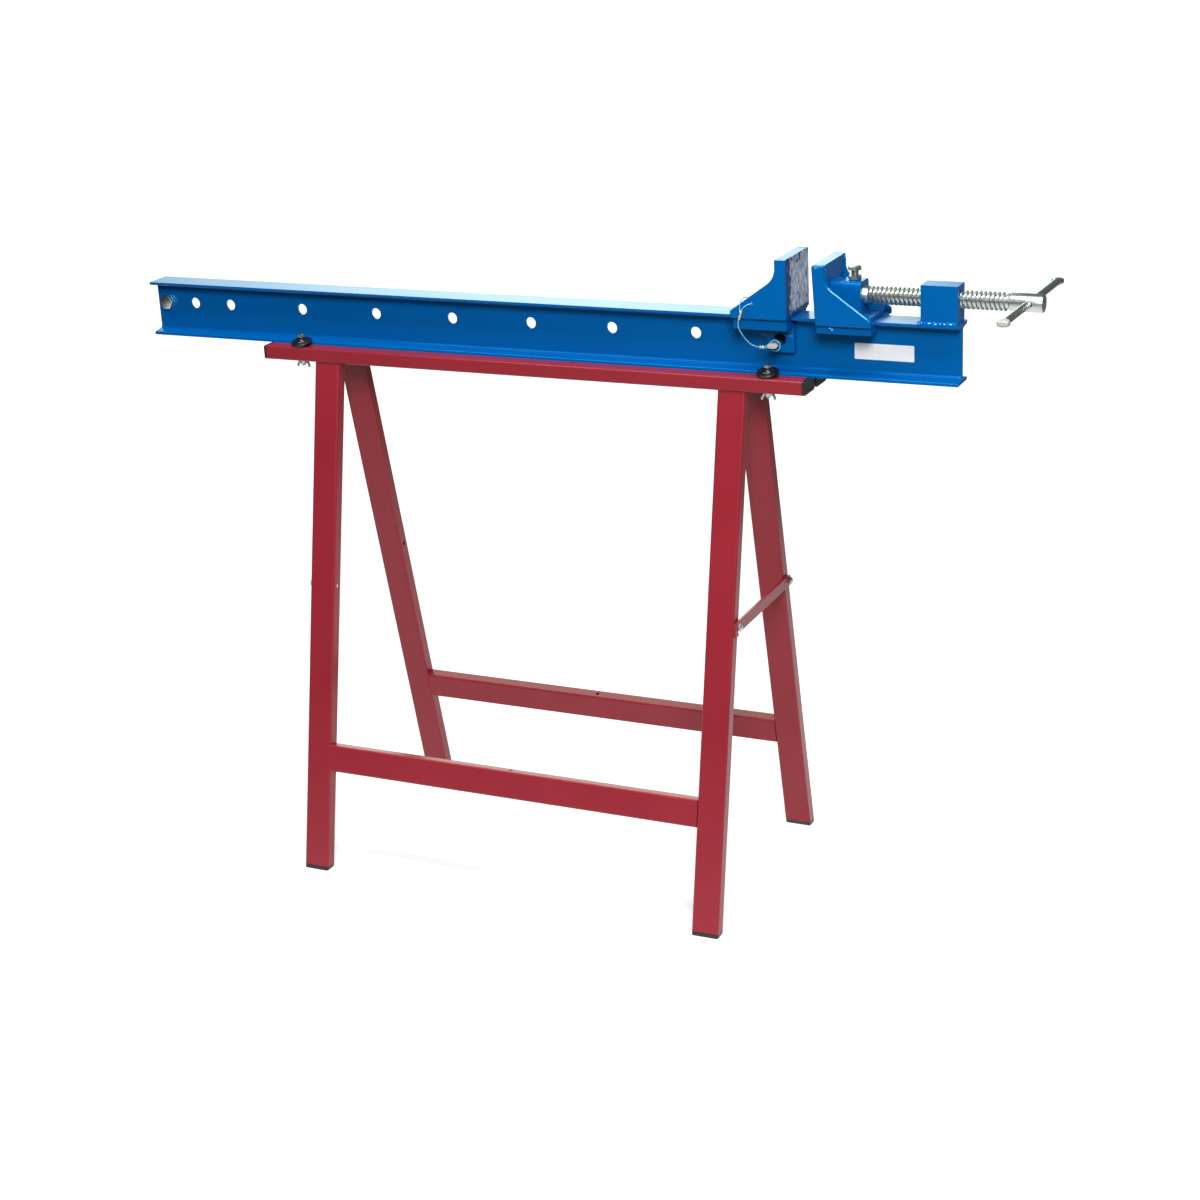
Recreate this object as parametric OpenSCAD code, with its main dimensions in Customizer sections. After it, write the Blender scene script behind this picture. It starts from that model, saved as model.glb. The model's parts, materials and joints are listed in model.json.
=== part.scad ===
// I-beam bar clamp fastened on a folding stand.
// +X runs along the beam from the tail end to the screw, +Y away from the front legs, +Z up.
// The origin is on the floor, under the middle of the overall length.

/* [Beam] */
// Length of the I-section beam
beam_l = 1250; // [1100:5:1500]
// Height of the beam section
beam_h = 80; // [76:1:100]
// Width of the beam flanges
beam_w = 42; // [38:1:50]
// Thickness of the beam web
web_t = 3.9; // [3:0.1:6]
// Thickness of a flange at its edge
flange_edge_t = 4.4; // [3.6:0.1:5.5]
// Slope of the inner face of a flange, in degrees
flange_slope = 8; // [4:0.5:10]
// Fillet between web and flange
root_r = 3.9; // [2:0.1:4.5]
// Rounding of a flange's inner edge
toe_r = 2.3; // [1:0.1:2.8]

/* [Pin holes] */
// Diameter of the pin holes in the web
hole_d = 16; // [15:0.5:20]
// Distance between the pin holes
hole_pitch = 125; // [100:5:140]
// First full-pitch hole, from the tail end
hole_first = 128; // [115:1:140]
// Height of the holes above the underside of the beam
hole_z = 47; // [42:1:48]
// End stop bolt, from the tail end
stop_x = 17; // [15:1:20]
// Thread diameter of the end stop bolt
stop_d = 12; // [8:1:14]

/* [Jaws] */
// Height of a jaw's cheeks
jaw_h = 79; // [70:1:95]
// Length of a jaw along the beam
jaw_l = 78.5; // [70:0.5:90]
// Width of a jaw across the beam
jaw_w = 91; // [84:1:110]
// Thickness of a jaw's face plate
face_t = 15; // [10:0.5:20]
// Thickness of a jaw's cheeks
cheek_t = 6; // [4:0.5:8]
// Height of the straight rear end of a cheek
cheek_toe_h = 9; // [6:0.5:14]
// Slope of a cheek's rear edge, in degrees
cheek_slope = 35.5; // [30:0.5:40]
// Forward lean of the front jaw's face, in degrees
front_lean = 3; // [0:0.5:4]
// Radius between the face and the slope of a cheek
cheek_r = 27; // [15:1:30]
// Height of the tail jaw's cheeks above the beam
tail_rise = 2; // [1:0.5:4]
// Depth of the front jaw's cheeks below the beam's top
front_drop = 3.5; // [1:0.5:6]
// Thickness of a jaw's base plate
base_t = 6; // [5:0.5:8]
// Setback of a jaw's base plate from its rear end
base_setback = 6; // [3:0.5:10]
// Height of a jaw's guide bars
guide_h = 15; // [13:0.5:20]
// Setback of the guides from the ends of a jaw
guide_inset = 2; // [1:0.5:4]

/* [Lock pin] */
// Diameter of the lock pin
pin_d = 10; // [9:0.5:14]
// Distance of the pin behind the tail jaw's face
pin_setback = 22; // [18:1:26]
// How far the pin is pulled out
pin_travel = 10.5; // [9:0.5:12]
// Thickness of the lock plates
lock_t = 8; // [6:0.5:9]
// Underside of the lock plates, above the underside of the beam
lock_z = 29; // [26:1:32]
// Diameter of the tether hole in the near cheek
tether_hole_d = 4; // [3.5:0.5:6]
// Diameter of the tether cord
tether_d = 1.6; // [1.2:0.1:1.8]

/* [Screw] */
// Diameter of the screw spindle
screw_d = 24; // [20:0.5:26]
// Width of the screw hub
hub_w = 35; // [32:1:44]
// Height of the screw hub
hub_h = 44; // [42:1:48]
// Length of the screw hub behind the face plate
hub_l = 40.5; // [36:0.5:44]
// Height of the screw above a jaw's base plate
screw_rise = 24.5; // [22:0.5:26]
// Rounding of the hub's long edges
hub_r = 7; // [3:0.5:8]
// Thread diameter of the retaining bolt
keeper_d = 10; // [6:1:12]
// Free stem of the retaining bolt between nut and head
keeper_stem = 7; // [4:0.5:10]
// Depth of the retaining groove in the spindle
groove_depth = 5; // [3:0.5:6]
// Length of the nut block along the beam
block_l = 50; // [40:1:60]
// Width of the nut block
block_w = 30; // [28:1:40]
// Cover of the nut block above the screw
block_cover = 7.5; // [5:0.5:12]
// Setback of the nut block from the end of the beam
block_setback = 2; // [0:0.5:10]
// Free run between the front jaw and the nut block
screw_run = 57; // [50:1:70]
// Screw beyond the nut block, with its head
screw_tail = 106; // [90:1:130]
// Cross hole of the screw head, from its end
cross_setback = 19; // [14:0.5:26]
// Diameter of the tommy bar
tommy_d = 10; // [8:0.5:12]
// Length of the tommy bar
tommy_l = 280; // [200:5:320]
// Sideways offset of the tommy bar in the screw head
tommy_shift = 9; // [-40:1:40]
// Width of the tommy bar's flattened ends
paddle_w = 16; // [13:0.5:18]
// Thickness of the tommy bar's flattened ends
paddle_t = 6; // [4:0.5:7]
// Turn of the tommy bar from level, in degrees
tommy_turn = 1.2; // [0:0.1:2]
// Length of the tommy bar's flattened ends
paddle_l = 14; // [10:1:20]

/* [Stand] */
// Height of the rails' top face, where the beam lies
stand_h = 764; // [650:1:900]
// Middle of the stand, from the middle of the beam
stand_shift = 3; // [-20:1:20]
// Width of the rectangular tube
tube_w = 40; // [36:1:46]
// Thickness of the rectangular tube
tube_t = 20; // [18:0.5:26]
// Wall of the rectangular tube
tube_wall = 1.5; // [1:0.1:2]
// Corner radius of the rectangular tube
tube_r = 3; // [2:0.1:4]
// Length of the rails without their caps
rail_l = 833; // [780:1:900]
// Gap between the two rails
rail_gap = 8; // [4:0.5:12]
// Middle of a leg, from the end of the rails
leg_inset = 101; // [90:1:140]
// Outer face to outer face of the feet
foot_spread = 401; // [340:1:460]
// Outer face of the legs' tops, from the middle of the stand
leg_top_out = 42; // [41:0.5:46]
// Height of the plastic feet
foot_h = 6; // [4:0.5:12]
// Lower edge of the crossbars, along the legs
crossbar_low = 152; // [100:1:250]
// Diameter of the drain hole in the crossbars
drain_d = 6; // [4:0.5:8]
// Thickness of the rail end caps
cap_t = 4; // [2.5:0.5:6]
// Drop of the rear legs' hinge below the rails
hinge_drop = 14; // [13.5:0.5:18]
// Thickness of the hinge lugs
lug_t = 12; // [10:0.5:12.5]
// Thickness of the cross plates that join the rails
cross_plate_t = 4; // [3:0.5:5]
// Width of the cross plates that join the rails
cross_plate_w = 40; // [30:1:60]
// Middle of a cross plate, from the middle of the nearest leg
cross_plate_inset = 115; // [60:1:160]

/* [Stay and hold-downs] */
// Height of the stay's bolts
stay_z = 428; // [300:1:500]
// Height of the spare holes in the left legs
spare_z = 422; // [300:1:500]
// Width of the stay bar
stay_w = 16.5; // [13:0.5:20]
// Thickness of the stay bar
stay_t = 4; // [3:0.5:6]
// Diameter of the stand's bolts
bolt_d = 6; // [5:0.5:6.5]
// Middle of a hold-down, from the end of the rails
hold_inset = 53; // [40:1:60]
// Hold-downs, from the middle of the beam
hold_y = 28.5; // [27:0.5:31]
// Diameter of the hold-down discs
disc_d = 31; // [28:0.5:33]
// Height of the hold-down discs
disc_h = 8; // [6:0.5:10]
// Wing nut's span over its wings
wing_span = 25; // [20:0.5:28]

/* [Hidden] */
$fn = 64;
over = 1;

// Clearances
slide_gap = 0.3;
side_gap = 0.5;
run_fit = 0.06;
plug_fit = 0.2;
seat_gap = 0.35;
lip_gap = 0.6;

// Colours
blue = "#0059A8";
red = "#9E2B33";
zinc = "#C8CBCB";
black = "#222224";
steel = "#8E929A";
cord_blue = "#9CC7E6";

// Beam section
root_t = flange_edge_t + (beam_w - web_t) / 2 * tan(flange_slope);
flange_dir = [cos(flange_slope), sin(flange_slope)];

// Places along the beam, from the tail end
block_x = beam_l - block_setback - block_l;
front_rear_x = block_x - screw_run;
front_face_x = front_rear_x - jaw_l;
least_opening = 10;
last_hole = floor((front_face_x - least_opening - pin_setback - hole_first) / hole_pitch);
pin_x = hole_first + last_hole * hole_pitch;
tail_face_x = pin_x + pin_setback;
screw_end_x = beam_l + screw_tail;
middle_x = screw_end_x / 2;
stand_x = beam_l / 2 + stand_shift;

// Heights
beam_z = stand_h;
beam_top = stand_h + beam_h;
pin_z = beam_z + hole_z;
slide_z = beam_top + slide_gap;
base_top = slide_z + base_t;
screw_z = base_top + screw_rise;
hub_top = base_top + hub_h;
block_h = screw_z + screw_d / 2 + block_cover - beam_top;
tail_top = beam_top + tail_rise + jaw_h;
front_top = beam_top - front_drop + jaw_h;

// Jaws
cheek_in = jaw_w / 2 - cheek_t;
guide_in = beam_w / 2 + side_gap;
lip_in = web_t / 2 + side_gap + lock_t;
lip_top = beam_top - root_t - lip_gap;
guide_bottom = slide_z - guide_h;
lock_top = beam_top - root_t - root_r - lip_gap;
slope_fall = jaw_h - cheek_toe_h - (jaw_l - face_t) * tan(cheek_slope);
level = 0;

// Pin: it lies low in its holes, and its flattened end stays outside when it is pushed in
pin_drop = (hole_d - pin_d) / 2 - slide_gap;
pin_tip_y = -(web_t / 2 + 2 * side_gap);
pin_proud = 20.5;
pin_nose_y = -(lip_in + pin_proud + pin_travel);
pin_end_w = 1.4 * pin_d;
pin_end_t = 0.6 * pin_d;
pin_end_l = pin_d;
pin_seat = pin_tip_y + pin_travel + slide_gap - web_t / 2 - side_gap;
loop_y = pin_nose_y + pin_end_l + tether_d;

// Screw
keeper_x = front_face_x + face_t + hub_l * 0.68;
bore_end = 5;
journal_x = front_face_x + face_t + bore_end + slide_gap;
cross_x = screw_end_x - cross_setback;
keeper_nut_h = 0.6 * keeper_d;
keeper_head_h = 0.5 * keeper_d;

// Hexagons, across flats, and head heights for a thread diameter
function hex_af(d) = 1.6 * d;
function head_h(d) = 0.65 * d;
function nut_h(d) = 0.8 * d;

// Stand
leg_lean = atan((foot_spread / 2 - leg_top_out) / (stand_h - tube_t));
foot_mid = foot_spread / 2 - tube_t / 2 / cos(leg_lean);
function leg_mid(z) = foot_mid - z * tan(leg_lean);
rail_mid = (rail_gap + tube_w) / 2;
rail_under = stand_h - tube_t;
leg_pitch = rail_l - 2 * leg_inset;
leg_xs = [stand_x - leg_pitch / 2, stand_x + leg_pitch / 2];
front = -1;
rear = 1;
hinge_z = rail_under - hinge_drop;
hinge_y = leg_mid(hinge_z);
hinge_along = hinge_z / cos(leg_lean);
lug_w = tube_w - 2 * tube_wall - tube_r;
leg_head = sqrt(pow(hinge_drop - slide_gap, 2) - pow(tube_t / 2, 2)) - slide_gap;
leg_end = rail_under / cos(leg_lean);
bolt_r = bolt_d / 2;
bolt_bore_r = bolt_r + run_fit;

// Stay: it turns this many degrees on the rear leg for each degree of fold
stay_turn_ratio = 3.25;
stay_y = leg_mid(stay_z);
spare_y = leg_mid(spare_z);
stay_x = leg_xs[1] + tube_w / 2 + slide_gap;
hook_r = bolt_r + 0.7;
hook_nose = 11;
hook_drop = 12;
hook_lean = atan2(hinge_z - stay_z, 2 * stay_y * (1 + stay_turn_ratio) - (stay_y - hinge_y));

// Hold-downs
hold_reach = rail_l / 2 - hold_inset;
hold_xs = [stand_x - hold_reach, stand_x + hold_reach];
disc_tilt = atan(flange_edge_t / (hold_y + disc_d / 2 - beam_w / 2));
disc_z = stand_h + seat_gap + disc_d / 2 * sin(disc_tilt);
disc_boss_d = 14;
disc_rim_h = 4;
disc_bore_r = bolt_r + disc_h * sin(disc_tilt) + slide_gap;
hold_head_z = disc_z + disc_h * cos(disc_tilt) + disc_boss_d / 2 * sin(disc_tilt) + 0.1;
wing_hub_d = 11;
wing_hub_h = 7;
wing_t = 2.6;
wing_drop = 14;
hold_end_z = rail_under - wing_hub_h - 3;

// Tether routes, measured from the pin hole on the beam's middle plane at pin height
tether_at = [pin_x, 0, pin_z];
ferrule_d = 5;
jaw_ferrule_from = [-39.5, -49, 45.5];
jaw_ferrule_to = [-43, -49, 33.2];
pin_ferrule_from = [-22, loop_y, -6.7];
pin_ferrule_to = [-13.5, loop_y, -6.7];
cord_route = [
    [-42.8, -49, 34], [-43.6, -49, 31], [-44.2, -48.4, 27], [-44.2, -47, 22], [-43, -44.8, 16.9],
    [-41.1, -42.2, 11.7], [-38.7, -39, 6], [-35.7, -35.4, 0.6], [-31.8, -32.2, -3.9],
    [-27.3, loop_y, -6.5], [-24.3, loop_y, -6.7], [-22.3, loop_y, -6.7]
];
jaw_loop_route = [
    [-38.8, -49, 44.6], [-38, -49, 47], [-35.4, -49, 50], [-32, -48.8, 52.6], [-29, -48, 54],
    [-27, -46, 54.6], [-26.6, -42.5, 54.8], [-27.2, -38.6, 55.6], [-29.8, -37.4, 58],
    [-33.2, -38, 60.4], [-35.6, -40.6, 62], [-37.4, -44, 62], [-39, -47, 59.4], [-40.4, -48.8, 55],
    [-41.2, -49, 50.4], [-41.2, -49, 47], [-41.2, -49, 44.6]
];
loop_slack = 1.2;
loop_r = (pin_d + tether_d) / 2 + slide_gap + loop_slack;
loop_z = -pin_drop - loop_slack;
loop_ends = [[-15.5, loop_y, -5.9], [-13, loop_y, -5.7], [-13, loop_y, -7.7], [-15.5, loop_y, -7.5]];
pin_loop_route = concat(
    [loop_ends[0], loop_ends[1]],
    [for (a = [150 : -30 : -150]) [loop_r * cos(a), loop_y, loop_r * sin(a) + loop_z]],
    [loop_ends[2], loop_ends[3]]
);

// Swept tube: rings turn as little as possible from one route point to the next
function unit(v) = v / norm(v);
function tangent(p, i) = unit(p[min(i + 1, len(p) - 1)] - p[max(i - 1, 0)]);
function across(v, t) = unit(v - (v * t) * t);
function ring_axes(p, i, v) = i == len(p) ? [] :
    let (w = across(v, tangent(p, i))) concat([w], ring_axes(p, i + 1, w));

module tube_along(p, d, sides = 8) {
    axes = ring_axes(p, 0, across([0.3, 0.9, 0.2], tangent(p, 0)));
    points = [for (i = [0 : len(p) - 1], k = [0 : sides - 1])
        let (w = axes[i], n = cross(tangent(p, i), w), a = 360 * k / sides)
        p[i] + d / 2 * (cos(a) * w + sin(a) * n)];
    walls = [for (i = [0 : len(p) - 2], k = [0 : sides - 1])
        let (a = i * sides + k, b = i * sides + (k + 1) % sides)
        each [[a, a + sides, b + sides], [a, b + sides, b]]];
    last = (len(p) - 1) * sides;
    ends = concat(
        [for (k = [1 : sides - 2]) [0, k, k + 1]],
        [for (k = [1 : sides - 2]) [last, last + k + 1, last + k]]
    );
    polyhedron(points, concat(walls, ends));
}

// Shared shapes
module in_part() {
    translate([-middle_x, 0, 0])
        children();
}

module along_x() {
    rotate([90, 0, 90])
        children();
}

module round_rect(w, h, r) {
    square([w - 2 * r, h], center = true);
    square([w, h - 2 * r], center = true);
    for (x = [-1, 1], y = [-1, 1])
        translate([x * (w / 2 - r), y * (h / 2 - r)])
            circle(r);
}

module tube_outline(w = tube_w, h = tube_t) {
    difference() {
        round_rect(w, h, tube_r);
        round_rect(w - 2 * tube_wall, h - 2 * tube_wall, tube_r - tube_wall / 2);
    }
}

module plug_outline() {
    inset = 2 * (tube_wall + plug_fit);
    round_rect(tube_w - inset, tube_t - inset, tube_r - tube_wall / 2);
}

module hex(af, h) {
    cylinder(d = af / cos(30), h = h, $fn = 6);
}

module x_rod(r, l) {
    rotate([0, 90, 0])
        cylinder(r = r, h = l);
}

// A bolt along +X: the head lies before the origin, the shank runs to l
module x_bolt(d, l) {
    rotate([0, 90, 0]) {
        cylinder(d = d, h = l);
        translate([0, 0, -head_h(d)])
            hex(hex_af(d), head_h(d));
    }
}

module x_nut(d) {
    rotate([0, 90, 0])
        difference() {
            hex(hex_af(d), nut_h(d));
            translate([0, 0, -over])
                cylinder(r = d / 2 + run_fit, h = nut_h(d) + 2 * over);
        }
}

// Beam
module corner_fill(corner, dir_a, dir_b, r) {
    half = acos(dir_a * dir_b) / 2;
    reach = r / tan(half);
    middle = corner + r / sin(half) * unit(dir_a + dir_b);
    difference() {
        polygon([corner, corner + reach * dir_a, middle, corner + reach * dir_b]);
        translate(middle)
            circle(r);
    }
}

module flange_outline() {
    edge = [beam_w / 2, -flange_edge_t];
    root = [web_t / 2, -root_t];
    difference() {
        polygon([
            [-edge.x, 0], [edge.x, 0], edge, root, [-root.x, root.y], [-edge.x, edge.y]
        ]);
        for (side = [0, 1])
            mirror([side, 0])
                corner_fill(edge, [0, 1], -flange_dir, toe_r);
    }
    for (side = [0, 1])
        mirror([side, 0])
            corner_fill(root, [0, -1], flange_dir, root_r);
}

module beam_outline() {
    square([web_t, beam_h - 2 * flange_edge_t], center = true);
    for (side = [0, 1])
        mirror([0, side])
            translate([0, beam_h / 2])
                flange_outline();
}

module web_hole(x, d) {
    translate([x, -web_t, pin_z])
        rotate([-90, 0, 0])
            cylinder(d = d, h = 2 * web_t);
}

module beam() {
    color(blue)
        in_part()
            difference() {
                translate([0, 0, beam_z + beam_h / 2])
                    along_x()
                        linear_extrude(beam_l)
                            beam_outline();
                web_hole(hole_first - hole_pitch / 2, hole_d);
                for (i = [0 : last_hole])
                    web_hole(hole_first + i * hole_pitch, hole_d);
                web_hole(stop_x, stop_d + 2 * run_fit);
            }
}

module nut_block() {
    color(blue)
        in_part()
            difference() {
                translate([block_x, -block_w / 2, beam_top])
                    cube([block_l, block_w, block_h]);
                translate([block_x - over, 0, screw_z])
                    x_rod(screw_d / 2 + run_fit, block_l + 2 * over);
            }
}

module end_stop_bolt() {
    shank = web_t + nut_h(stop_d) + 3;
    color(zinc)
        in_part()
            translate([stop_x, -web_t / 2, pin_z])
                rotate([0, 0, 90])
                    x_bolt(stop_d, shank);
}

module end_stop_nut() {
    color(zinc)
        in_part()
            translate([stop_x, web_t / 2, pin_z])
                rotate([0, 0, 90])
                    x_nut(stop_d);
}

// Jaws: drawn with the face at x = 0 and the body behind it, on +X
module at_tail_jaw() {
    in_part()
        translate([tail_face_x, 0, 0])
            mirror([1, 0, 0])
                children();
}

module at_front_jaw() {
    in_part()
        translate([front_face_x, 0, 0])
            children();
}

// How far a leaning face stands behind its middle at a height above the cheek's foot
function face_at(lean, h) = (jaw_h / 2 - h) * tan(lean);

// Side view of a cheek: a post behind the face that sweeps into a slope
module cheek_outline(lean) {
    toe = jaw_h - cheek_toe_h;
    corner = [face_t, -slope_fall];
    polygon([
        [face_at(lean, jaw_h), 0], [face_t, 0], corner,
        [jaw_l, -toe], [jaw_l, -jaw_h], [face_at(lean, 0), -jaw_h]
    ]);
    corner_fill(corner, [0, 1], [cos(cheek_slope), -sin(cheek_slope)], cheek_r);
}

module jaw_cheek(top, side, lean) {
    translate([0, side * (jaw_w - cheek_t) / 2 + cheek_t / 2, top])
        rotate([90, 0, 0])
            linear_extrude(cheek_t)
                cheek_outline(lean);
}

module jaw_plate(top, lean) {
    foot = slide_z - top + jaw_h;
    translate([0, cheek_in, 0])
        rotate([90, 0, 0])
            linear_extrude(2 * cheek_in)
                polygon([
                    [face_at(lean, foot), slide_z], [face_at(lean, jaw_h), top],
                    [face_t, top], [face_t, slide_z]
                ]);
}

module jaw_base() {
    translate([face_t, -cheek_in, slide_z])
        cube([jaw_l - face_t - base_setback, 2 * cheek_in, base_t]);
}

// Bar under the base that runs beside the flange, with a lip under it
module jaw_guide(side) {
    mirror([0, side > 0 ? 0 : 1, 0])
        translate([guide_inset, 0, 0])
            along_x()
                linear_extrude(jaw_l - 2 * guide_inset)
                    polygon([
                        [cheek_in, slide_z], [guide_in, slide_z], [guide_in, lip_top],
                        [lip_in, lip_top], [lip_in, guide_bottom], [cheek_in, guide_bottom]
                    ]);
}

module tail_jaw_plate() {
    color(steel)
        at_tail_jaw()
            jaw_plate(tail_top, level);
}

module tail_jaw_cheek_near() {
    tether_hole = jaw_loop_route[6] + tether_at;
    color(blue)
        at_tail_jaw()
            difference() {
                jaw_cheek(tail_top, front, level);
                translate([tail_face_x - tether_hole.x, -jaw_w, tether_hole.z])
                    rotate([-90, 0, 0])
                        cylinder(d = tether_hole_d, h = jaw_w);
            }
}

module tail_jaw_cheek_far() {
    color(blue)
        at_tail_jaw()
            jaw_cheek(tail_top, rear, level);
}

module tail_jaw_base() {
    color(blue)
        at_tail_jaw()
            jaw_base();
}

module tail_jaw_guide_near() {
    color(blue)
        at_tail_jaw()
            jaw_guide(front);
}

module tail_jaw_guide_far() {
    color(blue)
        at_tail_jaw()
            jaw_guide(rear);
}

// Flattened end of a round bar along Y: it widens as it gets thinner
module paddle(d, w, t, l) {
    flare = l / 3;
    intersection() {
        linear_extrude(d, center = true)
            polygon([
                [-d / 2, 0], [d / 2, 0], [w / 2, flare], [w / 2, l], [-w / 2, l], [-w / 2, flare]
            ]);
        along_x()
            linear_extrude(w, center = true)
                polygon([
                    [0, -d / 2], [0, d / 2], [flare, t / 2], [l, t / 2], [l, -t / 2], [flare, -t / 2]
                ]);
    }
}

// Plate beside the web that holds the lock pin, its hole open down to this height of the plate's thickness
module lock_plate(side, floor) {
    low = beam_z + lock_z;
    lead = pin_setback + 5;
    color(blue)
        at_tail_jaw()
            translate([0, side * (lip_in - lock_t / 2) + lock_t / 2, 0])
                rotate([90, 0, 0])
                    difference() {
                        linear_extrude(lock_t)
                            polygon([
                                [guide_inset, low], [lead, low],
                                [lead + lock_top - low, lock_top], [guide_inset, lock_top]
                            ]);
                        translate([pin_setback, pin_z, floor])
                            cylinder(d = hole_d, h = lock_t + over - floor);
                    }
}

module lock_plate_near() {
    lock_plate(front, -over);
}

module lock_plate_far() {
    lock_plate(rear, lock_t - pin_seat);
}

// Pin: shank with a chamfered tip, and a flattened end that keeps the tether's loop on
module lock_pin() {
    shank = pin_tip_y - pin_nose_y - pin_end_l;
    tip = 1.5;
    color(zinc)
        in_part()
            translate([pin_x, pin_nose_y + pin_end_l, pin_z - pin_drop]) {
                rotate([-90, 0, 0])
                    rotate_extrude()
                        polygon([
                            [0, 0], [pin_d / 2, 0], [pin_d / 2, shank - tip],
                            [pin_d / 2 - tip, shank], [0, shank]
                        ]);
                mirror([0, 1, 0])
                    paddle(pin_d, pin_end_w, pin_end_t, pin_end_l);
            }
}

// Tether between the tail jaw and the pin
module tether(route) {
    color(cord_blue)
        in_part()
            translate(tether_at)
                tube_along(route, tether_d);
}

module ferrule(from, to) {
    run = to - from;
    color(zinc)
        in_part()
            translate(tether_at + from)
                rotate([0, acos(run.z / norm(run)), atan2(run.y, run.x)])
                    cylinder(d = ferrule_d, h = norm(run), $fn = 32);
}

module tether_cord() {
    tether(cord_route);
}

module tether_jaw_loop() {
    tether(jaw_loop_route);
}

module tether_jaw_ferrule() {
    ferrule(jaw_ferrule_from, jaw_ferrule_to);
}

module tether_pin_loop() {
    tether(pin_loop_route);
}

module tether_pin_ferrule() {
    ferrule(pin_ferrule_from, pin_ferrule_to);
}

module front_jaw_plate() {
    color(blue)
        at_front_jaw()
            jaw_plate(front_top, front_lean);
}

module front_jaw_cheek_near() {
    color(blue)
        at_front_jaw()
            jaw_cheek(front_top, front, front_lean);
}

module front_jaw_cheek_far() {
    color(blue)
        at_front_jaw()
            jaw_cheek(front_top, rear, front_lean);
}

module front_jaw_base() {
    color(blue)
        at_front_jaw()
            jaw_base();
}

module front_jaw_guide_near() {
    color(blue)
        at_front_jaw()
            jaw_guide(front);
}

module front_jaw_guide_far() {
    color(blue)
        at_front_jaw()
            jaw_guide(rear);
}

// Screw hub: rounded bar, bored for the spindle and tapped for its retaining bolt
module screw_hub() {
    color(blue)
        in_part()
            difference() {
                translate([front_face_x + face_t, 0, base_top + hub_h / 2])
                    along_x()
                        linear_extrude(hub_l)
                            round_rect(hub_w, hub_h, hub_r);
                translate([front_face_x + face_t + bore_end, 0, screw_z])
                    x_rod(screw_d / 2 + run_fit, hub_l);
                translate([keeper_x, 0, screw_z])
                    cylinder(r = keeper_d / 2 + run_fit, h = hub_h);
            }
}

module hub_retaining_bolt() {
    tip = screw_z + screw_d / 2 - groove_depth + side_gap;
    head = hub_top + keeper_nut_h + keeper_stem;
    color(zinc)
        in_part()
            translate([keeper_x, 0, 0]) {
                translate([0, 0, tip])
                    cylinder(d = keeper_d, h = head - tip);
                translate([0, 0, head])
                    hex(hex_af(keeper_d), keeper_head_h);
            }
}

module hub_lock_nut() {
    color(zinc)
        in_part()
            translate([keeper_x, 0, hub_top])
                difference() {
                    hex(hex_af(keeper_d), keeper_nut_h);
                    translate([0, 0, -over])
                        cylinder(r = keeper_d / 2 + run_fit, h = keeper_nut_h + 2 * over);
                }
}

// Place of the cross hole in the screw head, as far as the screw is turned
module at_cross_hole() {
    translate([cross_x, 0, screw_z])
        rotate([-tommy_turn, 0, 0])
            children();
}

// Spindle: its end turns in the hub, its head is cross-drilled
module screw_spindle() {
    groove_w = keeper_d + 1;
    color(zinc)
        in_part()
            difference() {
                translate([journal_x, 0, screw_z])
                    x_rod(screw_d / 2, screw_end_x - journal_x);
                translate([keeper_x - groove_w / 2, 0, screw_z])
                    difference() {
                        x_rod(screw_d, groove_w);
                        translate([-over, 0, 0])
                            x_rod(screw_d / 2 - groove_depth, groove_w + 2 * over);
                    }
                at_cross_hole()
                    rotate([-90, 0, 0])
                        cylinder(r = tommy_d / 2 + run_fit, h = 2 * screw_d, center = true);
            }
}

module tommy_bar() {
    rod = tommy_l - 2 * paddle_l;
    color(zinc)
        in_part()
            at_cross_hole()
                translate([0, tommy_shift, 0]) {
                    rotate([-90, 0, 0])
                        cylinder(d = tommy_d, h = rod, center = true);
                    for (side = [0, 1])
                        mirror([0, side, 0])
                            translate([0, rod / 2, 0])
                                paddle(tommy_d, paddle_w, paddle_t, paddle_l);
                }
}

// Stand: rails
module rail(side) {
    color(red)
        in_part()
            difference() {
                translate([stand_x - rail_l / 2, side * rail_mid, stand_h - tube_t / 2])
                    along_x()
                        linear_extrude(rail_l)
                            tube_outline();
                for (x = hold_xs)
                    translate([x, side * hold_y, rail_under - over])
                        cylinder(r = bolt_r + 2 * slide_gap, h = tube_t + 2 * over);
            }
}

module rail_front() {
    rail(front);
}

module rail_rear() {
    rail(rear);
}

module rail_cap() {
    recess = 1;
    rim = 4;
    plug_l = 15;
    along_x() {
        difference() {
            linear_extrude(cap_t)
                round_rect(tube_w, tube_t, tube_r);
            translate([0, 0, cap_t - recess])
                linear_extrude(recess + over)
                    round_rect(tube_w - 2 * rim, tube_t - 2 * rim, tube_r);
        }
        translate([0, 0, -plug_l])
            linear_extrude(plug_l)
                plug_outline();
    }
}

module rail_end_caps() {
    color(black)
        in_part()
            for (side = [front, rear], end = [0, 1])
                translate([stand_x, side * rail_mid, stand_h - tube_t / 2])
                    mirror([end, 0, 0])
                        translate([rail_l / 2, 0, 0])
                            rail_cap();
}

module rail_cross_plates() {
    reach = rail_gap + 1.2 * tube_w;
    color(red)
        in_part()
            for (x = [leg_xs[0] + cross_plate_inset, leg_xs[1] - cross_plate_inset])
                translate([x - cross_plate_w / 2, -reach / 2, rail_under - cross_plate_t])
                    cube([cross_plate_w, reach, cross_plate_t]);
}

// Legs: the leg's own Z runs up along its leaning middle line
module in_leg(x, side) {
    translate([x, side * foot_mid, 0])
        rotate([side * leg_lean, 0, 0])
            children();
}

module slab(z, h) {
    translate([0, -foot_spread, z])
        cube([screw_end_x, 2 * foot_spread, h]);
}

module cross_hole(along) {
    translate([-tube_w, 0, along])
        x_rod(bolt_bore_r, 2 * tube_w);
}

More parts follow.
